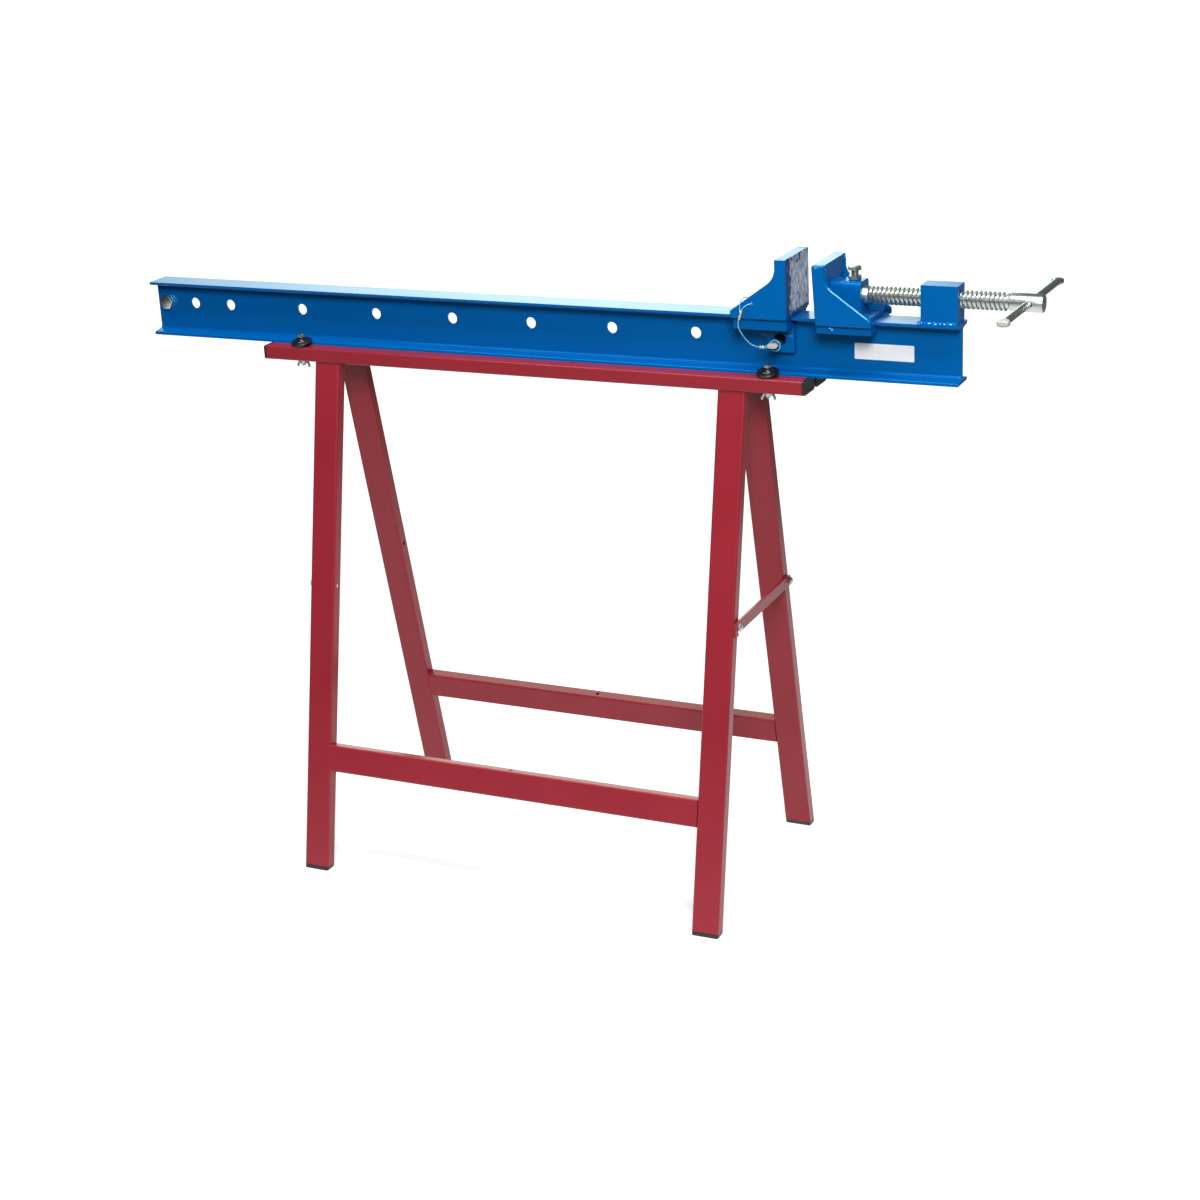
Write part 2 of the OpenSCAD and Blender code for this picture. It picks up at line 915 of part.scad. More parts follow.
module leg_tube(x, side, from, to) {
    in_leg(x, side)
        translate([0, 0, from])
            linear_extrude(to - from)
                tube_outline();
}

module front_leg(x, bolt_z) {
    color(red)
        in_part()
            difference() {
                intersection() {
                    leg_tube(x, front, -tube_t, leg_end + tube_t);
                    slab(foot_h, rail_under - foot_h);
                }
                in_leg(x, front)
                    cross_hole(bolt_z / cos(leg_lean));
            }
}

module rear_leg(x, bolt_z) {
    color(red)
        in_part()
            difference() {
                leg_tube(x, rear, -tube_t, hinge_along + leg_head);
                slab(foot_h - stand_h, stand_h);
                in_leg(x, rear) {
                    cross_hole(hinge_along);
                    cross_hole(bolt_z / cos(leg_lean));
                }
            }
}

module crossbar(side) {
    l = leg_pitch - tube_w;
    color(red)
        in_part()
            in_leg(stand_x, side)
                difference() {
                    translate([-l / 2, 0, crossbar_low + tube_w / 2])
                        along_x()
                            linear_extrude(l)
                                tube_outline(tube_t, tube_w);
                    translate([0, 0, crossbar_low + tube_w / 2])
                        cylinder(d = drain_d, h = tube_w);
                }
}

module foot(x, side) {
    plug_l = 18;
    intersection() {
        in_leg(x, side)
            translate([0, 0, -tube_w])
                linear_extrude(2 * tube_w)
                    round_rect(tube_w, tube_t, tube_r);
        slab(0, foot_h);
    }
    intersection() {
        in_leg(x, side)
            linear_extrude(2 * tube_w)
                plug_outline();
        slab(foot_h, plug_l);
    }
}

module feet(side) {
    color(black)
        in_part()
            for (x = leg_xs)
                foot(x, side);
}

module front_leg_left() {
    front_leg(leg_xs[0], spare_z);
}

module front_leg_right() {
    front_leg(leg_xs[1], stay_z);
}

module front_crossbar() {
    crossbar(front);
}

module front_feet() {
    feet(front);
}

module rear_leg_left() {
    rear_leg(leg_xs[0], spare_z);
}

module rear_leg_right() {
    rear_leg(leg_xs[1], stay_z);
}

module rear_crossbar() {
    crossbar(rear);
}

module rear_feet() {
    feet(rear);
}

// Hinge of the rear legs under the rear rail
module hinge_lugs() {
    color(red)
        in_part()
            for (x = leg_xs)
                translate([x - lug_w / 2, hinge_y, hinge_z])
                    difference() {
                        union() {
                            x_rod(lug_t / 2, lug_w);
                            translate([0, -lug_t / 2, 0])
                                cube([lug_w, lug_t, hinge_drop]);
                        }
                        translate([-over, 0, 0])
                            x_rod(bolt_bore_r, lug_w + 2 * over);
                    }
}

// Fasteners through a leg at a height: the head lies outside, the nut inside
module at_leg_bolt(i, y, z) {
    in_part()
        translate([leg_xs[i], y, z])
            mirror([i, 0, 0])
                translate([-tube_w / 2, 0, 0])
                    children();
}

module hinge_bolts() {
    color(zinc)
        for (i = [0, 1])
            at_leg_bolt(i, hinge_y, hinge_z)
                x_bolt(bolt_d, tube_w + nut_h(bolt_d) + 2);
}

module hinge_nuts() {
    color(zinc)
        for (i = [0, 1])
            at_leg_bolt(i, hinge_y, hinge_z)
                translate([tube_w, 0, 0])
                    x_nut(bolt_d);
}

// Stay: flat bar, an eye at the rear leg and an open hook over the front leg's stud
module stay_outline() {
    slot = 2 * stay_w;
    difference() {
        union() {
            translate([stay_y, stay_z])
                circle(d = stay_w);
            translate([-stay_y - hook_nose, stay_z - stay_w / 2])
                square([2 * stay_y + hook_nose, stay_w]);
            translate([-stay_y - hook_nose, stay_z - hook_drop])
                square([hook_nose, hook_drop]);
        }
        translate([stay_y, stay_z])
            circle(bolt_bore_r);
        translate([-stay_y, stay_z])
            circle(hook_r);
        translate([-stay_y, stay_z])
            rotate(hook_lean)
                translate([-hook_r, -slot])
                    square([2 * hook_r, slot]);
    }
}

module stay_bar() {
    color(red)
        in_part()
            translate([stay_x, 0, 0])
                along_x()
                    linear_extrude(stay_t)
                        stay_outline();
}

module stay_bolt(y) {
    reach = stay_t + 2 * slide_gap;
    color(zinc)
        in_part()
            translate([stay_x - slide_gap + reach, y, stay_z])
                mirror([1, 0, 0])
                    x_bolt(bolt_d, reach + tube_w);
}

module stay_stud() {
    stay_bolt(-stay_y);
}

module stay_pivot_bolt() {
    stay_bolt(stay_y);
}

module spare_stay_bolt() {
    color(zinc)
        at_leg_bolt(0, -spare_y, spare_z)
            x_bolt(bolt_d, tube_w);
}

// Hold-downs: a tilted disc on the flange's edge, a bolt through the rail and a wing nut
module hold_down_discs() {
    color(black)
        in_part()
            for (x = hold_xs, side = [0, 1])
                mirror([0, side, 0])
                    translate([x, -hold_y, disc_z])
                        rotate([disc_tilt, 0, 0])
                            rotate_extrude()
                                polygon([
                                    [disc_bore_r, 0], [disc_d / 2, 0], [disc_d / 2, disc_rim_h - 1],
                                    [disc_d / 2 - 1, disc_rim_h], [disc_boss_d / 2, disc_h],
                                    [disc_bore_r, disc_h]
                                ]);
}

module hold_down_bolts() {
    color(zinc)
        in_part()
            for (x = hold_xs, side = [-1, 1])
                translate([x, side * hold_y, 0]) {
                    translate([0, 0, hold_end_z])
                        cylinder(d = bolt_d, h = hold_head_z - hold_end_z);
                    translate([0, 0, hold_head_z])
                        hex(hex_af(bolt_d), head_h(bolt_d));
                }
}

module wing_outline() {
    tip_r = 4;
    difference() {
        union() {
            polygon([
                [0, 0], [wing_hub_d / 2, 0], [wing_span / 2, -wing_drop + 2 * tip_r],
                [wing_span / 2 - 2 * tip_r, -wing_drop + tip_r], [0, -wing_hub_h]
            ]);
            translate([wing_span / 2 - tip_r, -wing_drop + tip_r])
                circle(tip_r);
        }
        translate([0, -2 * wing_drop])
            square([bolt_d, 4 * wing_drop], center = true);
    }
}

module wing_nut(i, side) {
    color(zinc)
        in_part()
            translate([hold_xs[i], side * hold_y, rail_under - slide_gap])
                difference() {
                    union() {
                        translate([0, 0, -wing_hub_h])
                            cylinder(d = wing_hub_d, h = wing_hub_h);
                        for (a = [0, 180])
                            rotate(a)
                                translate([0, wing_t / 2, 0])
                                    rotate([90, 0, 0])
                                        linear_extrude(wing_t)
                                            wing_outline();
                    }
                    translate([0, 0, -2 * wing_drop])
                        cylinder(r = bolt_bore_r, h = 3 * wing_drop);
                }
}

module wing_nut_front_left() {
    wing_nut(0, front);
}

module wing_nut_front_right() {
    wing_nut(1, front);
}

module wing_nut_rear_left() {
    wing_nut(0, rear);
}

module wing_nut_rear_right() {
    wing_nut(1, rear);
}

beam();
nut_block();
end_stop_bolt();
end_stop_nut();
tail_jaw_plate();
tail_jaw_cheek_near();
tail_jaw_cheek_far();
tail_jaw_base();
tail_jaw_guide_near();
tail_jaw_guide_far();
lock_plate_near();
lock_plate_far();
lock_pin();
tether_cord();
tether_jaw_loop();
tether_jaw_ferrule();
tether_pin_loop();
tether_pin_ferrule();
front_jaw_plate();
front_jaw_cheek_near();
front_jaw_cheek_far();
front_jaw_base();
front_jaw_guide_near();
front_jaw_guide_far();
screw_hub();
hub_retaining_bolt();
hub_lock_nut();
screw_spindle();
tommy_bar();
rail_front();
rail_rear();
rail_end_caps();
rail_cross_plates();
front_leg_left();
front_leg_right();
front_crossbar();
front_feet();
rear_leg_left();
rear_leg_right();
rear_crossbar();
rear_feet();
hinge_lugs();
hinge_bolts();
hinge_nuts();
stay_bar();
stay_stud();
stay_pivot_bolt();
spare_stay_bolt();
hold_down_discs();
hold_down_bolts();
wing_nut_front_left();
wing_nut_front_right();
wing_nut_rear_left();
wing_nut_rear_right();
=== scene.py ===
import json
import math
import random

import bmesh
import bpy
from mathutils import Matrix, Vector


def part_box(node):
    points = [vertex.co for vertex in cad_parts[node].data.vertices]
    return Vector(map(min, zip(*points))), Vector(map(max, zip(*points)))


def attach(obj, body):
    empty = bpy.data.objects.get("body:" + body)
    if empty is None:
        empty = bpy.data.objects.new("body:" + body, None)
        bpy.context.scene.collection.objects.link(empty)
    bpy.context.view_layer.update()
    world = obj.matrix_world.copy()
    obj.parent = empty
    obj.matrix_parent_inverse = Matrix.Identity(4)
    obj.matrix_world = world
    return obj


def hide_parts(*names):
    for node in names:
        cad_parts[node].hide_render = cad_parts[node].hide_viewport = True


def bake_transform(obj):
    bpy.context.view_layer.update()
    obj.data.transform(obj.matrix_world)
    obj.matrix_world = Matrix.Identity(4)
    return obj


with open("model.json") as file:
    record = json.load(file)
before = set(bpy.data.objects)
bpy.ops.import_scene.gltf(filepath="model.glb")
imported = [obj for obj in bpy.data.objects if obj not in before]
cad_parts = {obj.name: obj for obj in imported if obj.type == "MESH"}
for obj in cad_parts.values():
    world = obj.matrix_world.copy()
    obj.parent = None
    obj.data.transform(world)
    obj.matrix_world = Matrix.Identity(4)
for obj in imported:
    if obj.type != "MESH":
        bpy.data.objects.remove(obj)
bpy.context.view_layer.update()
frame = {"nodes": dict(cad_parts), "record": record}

# The part's own measures, in millimetres, with x counted from the tail end of the beam
MM = 0.001
MIDDLE_X = 678
BEAM_Z = 764
BEAM_TOP = 844
WEB_T = 3.9
BLOCK_START, BLOCK_END = 1198, 1248
TAIL_FACE_X = 1025
BASE_TOP = 850
CHEEK_IN, CHEEK_OUT = 39.5, 45.5
LOCK_PLATE_Y = -10.45
PIN_X = 1003
PIN_Z = 811
SCREW_Z = 874.8
TOMMY_SHIFT = 9
TUBE_W, TUBE_T = 40, 20
RAIL_UNDER = 744
HOLD_XS = (264.5, 991.5)
HOLD_Y = 28.5
LEG_XS = (312.5, 943.5)
RUN_FIT = 0.06


def spot(x, y, z):
    """A point of the part, from millimetres to metres in the frame's own axes."""
    return Vector(((x - MIDDLE_X) * MM, y * MM, z * MM))


# Camera, at the photograph's viewing angle
FOCAL_PIXELS = 2272.68
FRAME_PIXELS = 1200
SENSOR_W = 36
CAMERA_AT = Vector((1.37419, -2.78587, 1.53803))
YAW, PITCH, ROLL = (math.radians(a) for a in (-25.679, -20.124, -2.944))


def set_camera():
    ahead = Vector((math.sin(YAW) * math.cos(PITCH), math.cos(YAW) * math.cos(PITCH), math.sin(PITCH)))
    right = Vector((math.cos(YAW), -math.sin(YAW), 0))
    up = right.cross(ahead)
    right, up = (right * math.cos(ROLL) + up * math.sin(ROLL), up * math.cos(ROLL) - right * math.sin(ROLL))
    camera = bpy.data.objects.new("camera", bpy.data.cameras.new("camera"))
    camera.data.sensor_width = SENSOR_W
    camera.data.lens = SENSOR_W * FOCAL_PIXELS / FRAME_PIXELS
    camera.data.clip_end = 60
    turn = Matrix((right, up, -ahead)).transposed().to_4x4()
    camera.matrix_world = Matrix.Translation(CAMERA_AT) @ turn
    bpy.context.scene.collection.objects.link(camera)
    bpy.context.scene.camera = camera


set_camera()


# Making pieces
def piece(name, mesh_work, material, body=None, stands_for=(), sharp=35):
    """Turns a bmesh, in metres, into a piece that rides on a body."""
    bmesh.ops.recalc_face_normals(mesh_work, faces=mesh_work.faces)
    mesh = bpy.data.meshes.new(name)
    mesh_work.to_mesh(mesh)
    mesh_work.free()
    mesh.shade_smooth()
    mesh.set_sharp_from_angle(angle=math.radians(sharp))
    mesh.materials.append(material)
    made = bpy.data.objects.new(name, mesh)
    bpy.context.scene.collection.objects.link(made)
    if body:
        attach(made, body)
    if stands_for:
        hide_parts(*stands_for)
    return made


def curve_through(points, steps=6):
    """A smooth line through the points."""
    ends = [points[0] * 2 - points[1]] + list(points) + [points[-1] * 2 - points[-2]]
    line = []
    for a, b, c, d in zip(ends, ends[1:], ends[2:], ends[3:]):
        for i in range(steps):
            t = i / steps
            line.append(0.5 * (2 * b + (c - a) * t + (2 * a - 5 * b + 4 * c - d) * t * t
                               + (3 * b - a - 3 * c + d) * t ** 3))
    return line + [points[-1]]


def skin(work, rings):
    """Faces between closed rings of the same count, with both ends shut."""
    for low, high in zip(rings, rings[1:]):
        for k in range(len(low)):
            work.faces.new((low[k - 1], low[k], high[k], high[k - 1]))
    work.faces.new(rings[0][::-1])
    work.faces.new(rings[-1])


def add_tube(work, line, radius, sides=12):
    """A round tube along the line. radius is a number, or a function of how far along the line it is."""
    rings = []
    side = (line[1] - line[0]).orthogonal().normalized()
    for i, point in enumerate(line):
        ahead = (line[min(i + 1, len(line) - 1)] - line[max(i - 1, 0)]).normalized()
        side = (side - ahead * side.dot(ahead)).normalized()
        across = ahead.cross(side)
        r = radius(i / (len(line) - 1)) if callable(radius) else radius
        rings.append([work.verts.new(point + (side * math.cos(a) + across * math.sin(a)) * r)
                      for a in (2 * math.pi * k / sides for k in range(sides))])
    skin(work, rings)


def add_lathe(work, outline, place, segments=48, ring=False):
    """A turned form: its outline is (radius, height), in millimetres, from axis to axis or round a bore."""
    rings = []
    for r, h in outline:
        if r == 0:
            rings.append([work.verts.new(place @ Vector((0, 0, h * MM)))])
            continue
        rings.append([work.verts.new(place @ (Vector((r * math.cos(a), r * math.sin(a), h)) * MM))
                      for a in (2 * math.pi * k / segments for k in range(segments))])
    for low, high in zip(rings, rings[1:] + rings[:1] if ring else rings[1:]):
        for k in range(segments):
            corners = [low[k - 1], low[k]] if len(low) > 1 else [low[0]]
            corners += [high[k], high[k - 1]] if len(high) > 1 else [high[0]]
            work.faces.new(corners)


def round_corner(r, h, size, start, steps=5):
    """Points of a quarter round about (r, h), from the angle start, in degrees, through a right angle."""
    return [(r + size * math.cos(a), h + size * math.sin(a))
            for a in (math.radians(start + 90 * i / steps) for i in range(steps + 1))]


def rounded_box(left, right, low, high, r):
    """Points of a rectangle with round corners."""
    return (round_corner(right - r, high - r, r, 0) + round_corner(left + r, high - r, r, 90)
            + round_corner(left + r, low + r, r, 180) + round_corner(right - r, low + r, r, 270))


def add_plate(work, outline, push):
    """A flat plate: its outline, as points in metres, grown by push, in millimetres."""
    face = work.faces.new([work.verts.new(point) for point in outline])
    grown = bmesh.ops.extrude_face_region(work, geom=[face])["geom"]
    pushed = [v for v in grown if isinstance(v, bmesh.types.BMVert)]
    bmesh.ops.translate(work, verts=pushed, vec=[step * MM for step in push])


def add_hex(work, across_flats, height, place, bore=0, chamfer_low=False):
    """A hexagon with the turned 30 degree chamfer of a bolt head or nut."""
    sides = 48
    shoulder = 0.44 * across_flats
    drop = math.tan(math.radians(30))
    rings = []
    ways = [2 * math.pi * k / sides for k in range(sides)]
    reach = [across_flats / 2 / math.cos((a + math.pi / 6) % (math.pi / 3) - math.pi / 6) for a in ways]

    def ring(radii, heights):
        rings.append([work.verts.new(place @ (Vector((r * math.cos(a), r * math.sin(a), h)) * MM))
                      for a, r, h in zip(ways, radii, heights)])

    if bore:
        ring([bore] * sides, [0] * sides)
    if chamfer_low:
        ring([shoulder] * sides, [0] * sides)
        ring(reach, [(r - shoulder) * drop for r in reach])
    else:
        ring(reach, [0] * sides)
    ring(reach, [height - (r - shoulder) * drop for r in reach])
    ring([shoulder] * sides, [height] * sides)
    if bore:
        ring([bore] * sides, [height] * sides)
        for low, high in zip(rings, rings[1:] + rings[:1]):
            for k in range(sides):
                work.faces.new((low[k - 1], low[k], high[k], high[k - 1]))
    else:
        skin(work, rings)


def add_thread(work, start, end, core, crest, pitch, foot_w, crest_w, place, steps):
    """A right-hand thread ridge, in millimetres, along the place's Z, that fades in and out over a third of a
    turn."""
    turns = (end - start - foot_w) / pitch
    count = int(turns * steps)
    rings = []
    for i in range(count + 1):
        turn = i / steps
        height = start + foot_w / 2 + pitch * turn
        top = core + (crest - core) * max(0.02, min(1, 3 * turn, 3 * (count / steps - turn)))
        a = 2 * math.pi * turn
        rings.append([work.verts.new(place @ (Vector((r * math.cos(a), r * math.sin(a), height + h)) * MM))
                      for r, h in ((core - 0.3, -foot_w / 2), (top, -crest_w / 2),
                                   (top, crest_w / 2), (core - 0.3, foot_w / 2))])
    skin(work, rings)


def facing(x, y, z, ahead, turn=0):
    """A place at a point of the part whose Z looks along ahead."""
    ways = {"+x": (0, 90, 0), "-x": (0, -90, 0), "+y": (-90, 0, 0), "-y": (90, 0, 0),
            "+z": (0, 0, 0), "-z": (180, 0, 0)}
    angles = [math.radians(a) for a in ways[ahead]]
    spin = Matrix.Rotation(angles[1], 4, "Y") @ Matrix.Rotation(angles[0], 4, "X")
    return Matrix.Translation(spot(x, y, z)) @ spin @ Matrix.Rotation(math.radians(turn), 4, "Z")


# Finishes
def linear(code):
    """A linear colour from an sRGB hex value."""
    parts = [int(code[i:i + 2], 16) / 255 for i in (1, 3, 5)]
    return [p / 12.92 if p <= 0.04045 else ((p + 0.055) / 1.055) ** 2.4 for p in parts] + [1]


def add(tree, kind, inputs, **settings):
    """Adds a node, with its settings, and its inputs as values or as links from other nodes' sockets."""
    made = tree.nodes.new(kind)
    for key, value in settings.items():
        setattr(made, key, value)
    for key, value in inputs.items():
        if isinstance(value, bpy.types.NodeSocket):
            tree.links.new(value, made.inputs[key])
        else:
            made.inputs[key].default_value = value
    return made


def new_finish(name):
    """A material without nodes, its node tree, and the place on the piece that its patterns go by."""
    material = bpy.data.materials.new(name)
    material.use_nodes = True
    tree = material.node_tree
    tree.nodes.clear()
    where = add(tree, "ShaderNodeTexCoord", {}).outputs["Object"]
    return material, tree, where


def close_finish(material, shader):
    """Joins the shader to the material's output, and hands the material back."""
    add(material.node_tree, "ShaderNodeOutputMaterial", {"Surface": shader.outputs["BSDF"]})
    return material


def per_mm(size):
    """The scale of a noise whose marks are about this many millimetres across."""
    return 1 / (size * MM)


def blue_enamel():
    """Air-drying gloss enamel over mill steel: deep even blue, clear highlights, a slight orange peel, and
    clouding where the coat is thinner."""
    material, tree, where = new_finish("blue_gloss_enamel")
    cloud = add(tree, "ShaderNodeTexNoise", {"Vector": where, "Scale": per_mm(140), "Detail": 1.5})
    tone = add(tree, "ShaderNodeMix", {
        "Factor": cloud.outputs["Fac"], "A": linear("#005499"), "B": linear("#005AA2")},
        data_type="RGBA").outputs["Result"]
    peel = add(tree, "ShaderNodeTexNoise", {"Vector": where, "Scale": per_mm(5), "Detail": 2})
    relief = add(tree, "ShaderNodeBump", {
        "Height": peel.outputs["Fac"], "Strength": 0.05, "Distance": 0.3 * MM})
    gloss = add(tree, "ShaderNodeMapRange", {"Value": cloud.outputs["Fac"], "To Min": 0.18, "To Max": 0.26})
    shader = add(tree, "ShaderNodeBsdfPrincipled", {
        "Base Color": tone, "Roughness": gloss.outputs["Result"], "IOR": 1.5,
        "Specular Tint": linear("#50D0FF"), "Normal": relief.outputs["Normal"]})
    return close_finish(material, shader)


def red_powder_coat():
    """Polyester powder coat, baked on: satin crimson with a fine even orange peel that softens highlights."""
    material, tree, where = new_finish("red_satin_powder_coat")
    cloud = add(tree, "ShaderNodeTexNoise", {"Vector": where, "Scale": per_mm(120), "Detail": 3})
    tone = add(tree, "ShaderNodeMix", {
        "Factor": cloud.outputs["Fac"], "A": linear("#871E2A"), "B": linear("#932833")},
        data_type="RGBA").outputs["Result"]
    peel = add(tree, "ShaderNodeTexNoise", {"Vector": where, "Scale": per_mm(2.2), "Detail": 2})
    relief = add(tree, "ShaderNodeBump", {
        "Height": peel.outputs["Fac"], "Strength": 0.1, "Distance": 0.3 * MM})
    shader = add(tree, "ShaderNodeBsdfPrincipled", {
        "Base Color": tone, "Roughness": 0.33, "IOR": 1.5, "Specular Tint": linear("#FFD4D4"),
        "Normal": relief.outputs["Normal"]})
    return close_finish(material, shader)


def zinc_plate():
    """Bright zinc electroplate over turned and rolled steel: cool silver, a little cloudy, clear darks."""
    material, tree, where = new_finish("bright_zinc_plate")
    cloud = add(tree, "ShaderNodeTexNoise", {
        "Vector": where, "Scale": per_mm(9), "Detail": 4, "Roughness": 0.6})
    tone = add(tree, "ShaderNodeMix", {
        "Factor": cloud.outputs["Fac"], "A": linear("#AEB2B0"), "B": linear("#C6CAC8")},
        data_type="RGBA").outputs["Result"]
    gloss = add(tree, "ShaderNodeMapRange", {"Value": cloud.outputs["Fac"], "To Min": 0.27, "To Max": 0.4})
    shader = add(tree, "ShaderNodeBsdfPrincipled", {
        "Base Color": tone, "Metallic": 1, "Roughness": gloss.outputs["Result"]})
    return close_finish(material, shader)


def hammered_zinc(name, middle, plain):
    """Bright zinc on a bar along Y whose near end, from plain millimetres out from its middle, was hammered:
    pale, dull and dented there."""
    fade = 4
    material, tree, where = new_finish(name)
    part = add(tree, "ShaderNodeSeparateXYZ", {"Vector": where})
    struck = add(tree, "ShaderNodeMapRange", {
        "Value": part.outputs["Y"], "From Min": (middle - plain) * MM,
        "From Max": (middle - plain - fade) * MM}).outputs["Result"]
    dents = add(tree, "ShaderNodeTexNoise", {"Vector": where, "Scale": per_mm(3), "Detail": 3})
    depth = add(tree, "ShaderNodeMath", {0: dents.outputs["Fac"], 1: struck}, operation="MULTIPLY")
    relief = add(tree, "ShaderNodeBump", {
        "Height": depth.outputs["Value"], "Strength": 0.3, "Distance": 0.6 * MM})
    tone = add(tree, "ShaderNodeMix", {"Factor": struck, "A": linear("#BABEBC"), "B": linear("#B8B4AE")},
               data_type="RGBA").outputs["Result"]
    metal = add(tree, "ShaderNodeMapRange", {"Value": struck, "To Min": 1, "To Max": 0.3})
    gloss = add(tree, "ShaderNodeMapRange", {"Value": struck, "To Min": 0.3, "To Max": 0.6})
    shader = add(tree, "ShaderNodeBsdfPrincipled", {
        "Base Color": tone, "Metallic": metal.outputs["Result"], "Roughness": gloss.outputs["Result"],
        "Normal": relief.outputs["Normal"]})
    return close_finish(material, shader)


def black_nylon():
    """Moulded black nylon: nearly black, smooth, with a broad soft shine."""
    material, tree, where = new_finish("black_moulded_nylon")
    grain = add(tree, "ShaderNodeTexNoise", {"Vector": where, "Scale": per_mm(3), "Detail": 3})
    gloss = add(tree, "ShaderNodeMapRange", {"Value": grain.outputs["Fac"], "To Min": 0.22, "To Max": 0.36})
    tone = add(tree, "ShaderNodeMix", {
        "Factor": grain.outputs["Fac"], "A": linear("#0E0F10"), "B": linear("#191A1B")},
        data_type="RGBA").outputs["Result"]
    shader = add(tree, "ShaderNodeBsdfPrincipled", {
        "Base Color": tone, "Roughness": gloss.outputs["Result"], "IOR": 1.53})
    return close_finish(material, shader)


def black_polythene():
    """Injection-moulded black polythene: dull charcoal with a fine eroded mould grain."""
    material, tree, where = new_finish("black_grained_polythene")
    grain = add(tree, "ShaderNodeTexNoise", {"Vector": where, "Scale": per_mm(1.2), "Detail": 3})
    relief = add(tree, "ShaderNodeBump", {
        "Height": grain.outputs["Fac"], "Strength": 0.25, "Distance": 0.2 * MM})
    tone = add(tree, "ShaderNodeMix", {
        "Factor": grain.outputs["Fac"], "A": linear("#161617"), "B": linear("#222223")},
        data_type="RGBA").outputs["Result"]
    shader = add(tree, "ShaderNodeBsdfPrincipled", {
        "Base Color": tone, "Roughness": 0.32, "IOR": 1.51, "Normal": relief.outputs["Normal"]})
    return close_finish(material, shader)


def mottled_finish(name, size, detail, tones, surface):
    """A finish that varies between two tones in patches of about this many millimetres. surface holds the
    shader's own values."""
    material, tree, where = new_finish(name)
    patches = add(tree, "ShaderNodeTexNoise", {"Vector": where, "Scale": per_mm(size), "Detail": detail})
    tone = add(tree, "ShaderNodeMix", {
        "Factor": patches.outputs["Fac"], "A": linear(tones[0]), "B": linear(tones[1])},
        data_type="RGBA").outputs["Result"]
    shader = add(tree, "ShaderNodeBsdfPrincipled", {"Base Color": tone, **surface})
    return close_finish(material, shader)


def rubbed_jaw_face():
    """Blue enamel worn through on the clamping face: dull grey steel in upright rubbed streaks, with flecks
    of paint left in it and a painted strip along the near edge and the foot. The plate's sides stay
    painted."""
    material, tree, where = new_finish("rubbed_steel_and_enamel")
    part = add(tree, "ShaderNodeSeparateXYZ", {"Vector": where})
    streak_way = add(tree, "ShaderNodeVectorMath", {0: where, 1: (0, per_mm(5), per_mm(15))},
                     operation="MULTIPLY")
    streak = add(tree, "ShaderNodeTexNoise", {
        "Vector": streak_way.outputs["Vector"], "Scale": 1, "Detail": 5, "Roughness": 0.65})
    fleck_way = add(tree, "ShaderNodeVectorMath", {0: where, 1: (0, per_mm(6.5), per_mm(12))},
                    operation="MULTIPLY")
    fleck = add(tree, "ShaderNodeTexNoise", {
        "Vector": fleck_way.outputs["Vector"], "Scale": 1, "Detail": 6, "Roughness": 0.7})
    near = add(tree, "ShaderNodeMapRange", {
        "Value": part.outputs["Y"], "From Min": -20 * MM, "From Max": -42 * MM, "To Max": 0.3})
    foot = add(tree, "ShaderNodeMapRange", {
        "Value": part.outputs["Z"], "From Min": (BEAM_TOP + 10) * MM, "From Max": (BEAM_TOP + 3) * MM,
        "To Max": 0.3})
    top = add(tree, "ShaderNodeMapRange", {
        "Value": part.outputs["Z"], "From Min": (BEAM_TOP + 66) * MM, "From Max": (BEAM_TOP + 81) * MM,
        "To Max": 0.09})
    edges = add(tree, "ShaderNodeMath", {0: near.outputs["Result"], 1: foot.outputs["Result"]},
                operation="MAXIMUM")
    edges = add(tree, "ShaderNodeMath", {0: edges.outputs["Value"], 1: top.outputs["Result"]},
                operation="MAXIMUM")
    cover = add(tree, "ShaderNodeMath", {0: fleck.outputs["Fac"], 1: edges.outputs["Value"]},
                operation="ADD")
    left_on = add(tree, "ShaderNodeMapRange", {
        "Value": cover.outputs["Value"], "From Min": 0.555, "From Max": 0.59})
    off_face = add(tree, "ShaderNodeMapRange", {
        "Value": part.outputs["X"], "From Min": (TAIL_FACE_X - 0.6 - MIDDLE_X) * MM,
        "From Max": (TAIL_FACE_X - 1 - MIDDLE_X) * MM})
    paint = add(tree, "ShaderNodeMath", {0: left_on.outputs["Result"], 1: off_face.outputs["Result"]},
                operation="MAXIMUM").outputs["Value"]
    rubbed = add(tree, "ShaderNodeMapRange", {
        "Value": streak.outputs["Fac"], "From Min": 0.36, "From Max": 0.62})
    steel = add(tree, "ShaderNodeMix", {
        "Factor": rubbed.outputs["Result"], "A": linear("#8890A8"), "B": linear("#E8EDF5")},
        data_type="RGBA").outputs["Result"]
    coat = add(tree, "ShaderNodeMix", {
        "Factor": off_face.outputs["Result"], "A": linear("#0B3870"), "B": linear("#005AA4")},
        data_type="RGBA").outputs["Result"]
    tone = add(tree, "ShaderNodeMix", {"Factor": paint, "A": steel, "B": coat},
               data_type="RGBA").outputs["Result"]
    metal = add(tree, "ShaderNodeMapRange", {"Value": paint, "To Min": 0.15, "To Max": 0})
    gloss = add(tree, "ShaderNodeMapRange", {"Value": paint, "To Min": 0.45, "To Max": 0.28})
    relief = add(tree, "ShaderNodeBump", {"Height": paint, "Strength": 0.5, "Distance": 0.15 * MM})
    shader = add(tree, "ShaderNodeBsdfPrincipled", {
        "Base Color": tone, "Metallic": metal.outputs["Result"], "Roughness": gloss.outputs["Result"],
        "Normal": relief.outputs["Normal"]})
    return close_finish(material, shader)


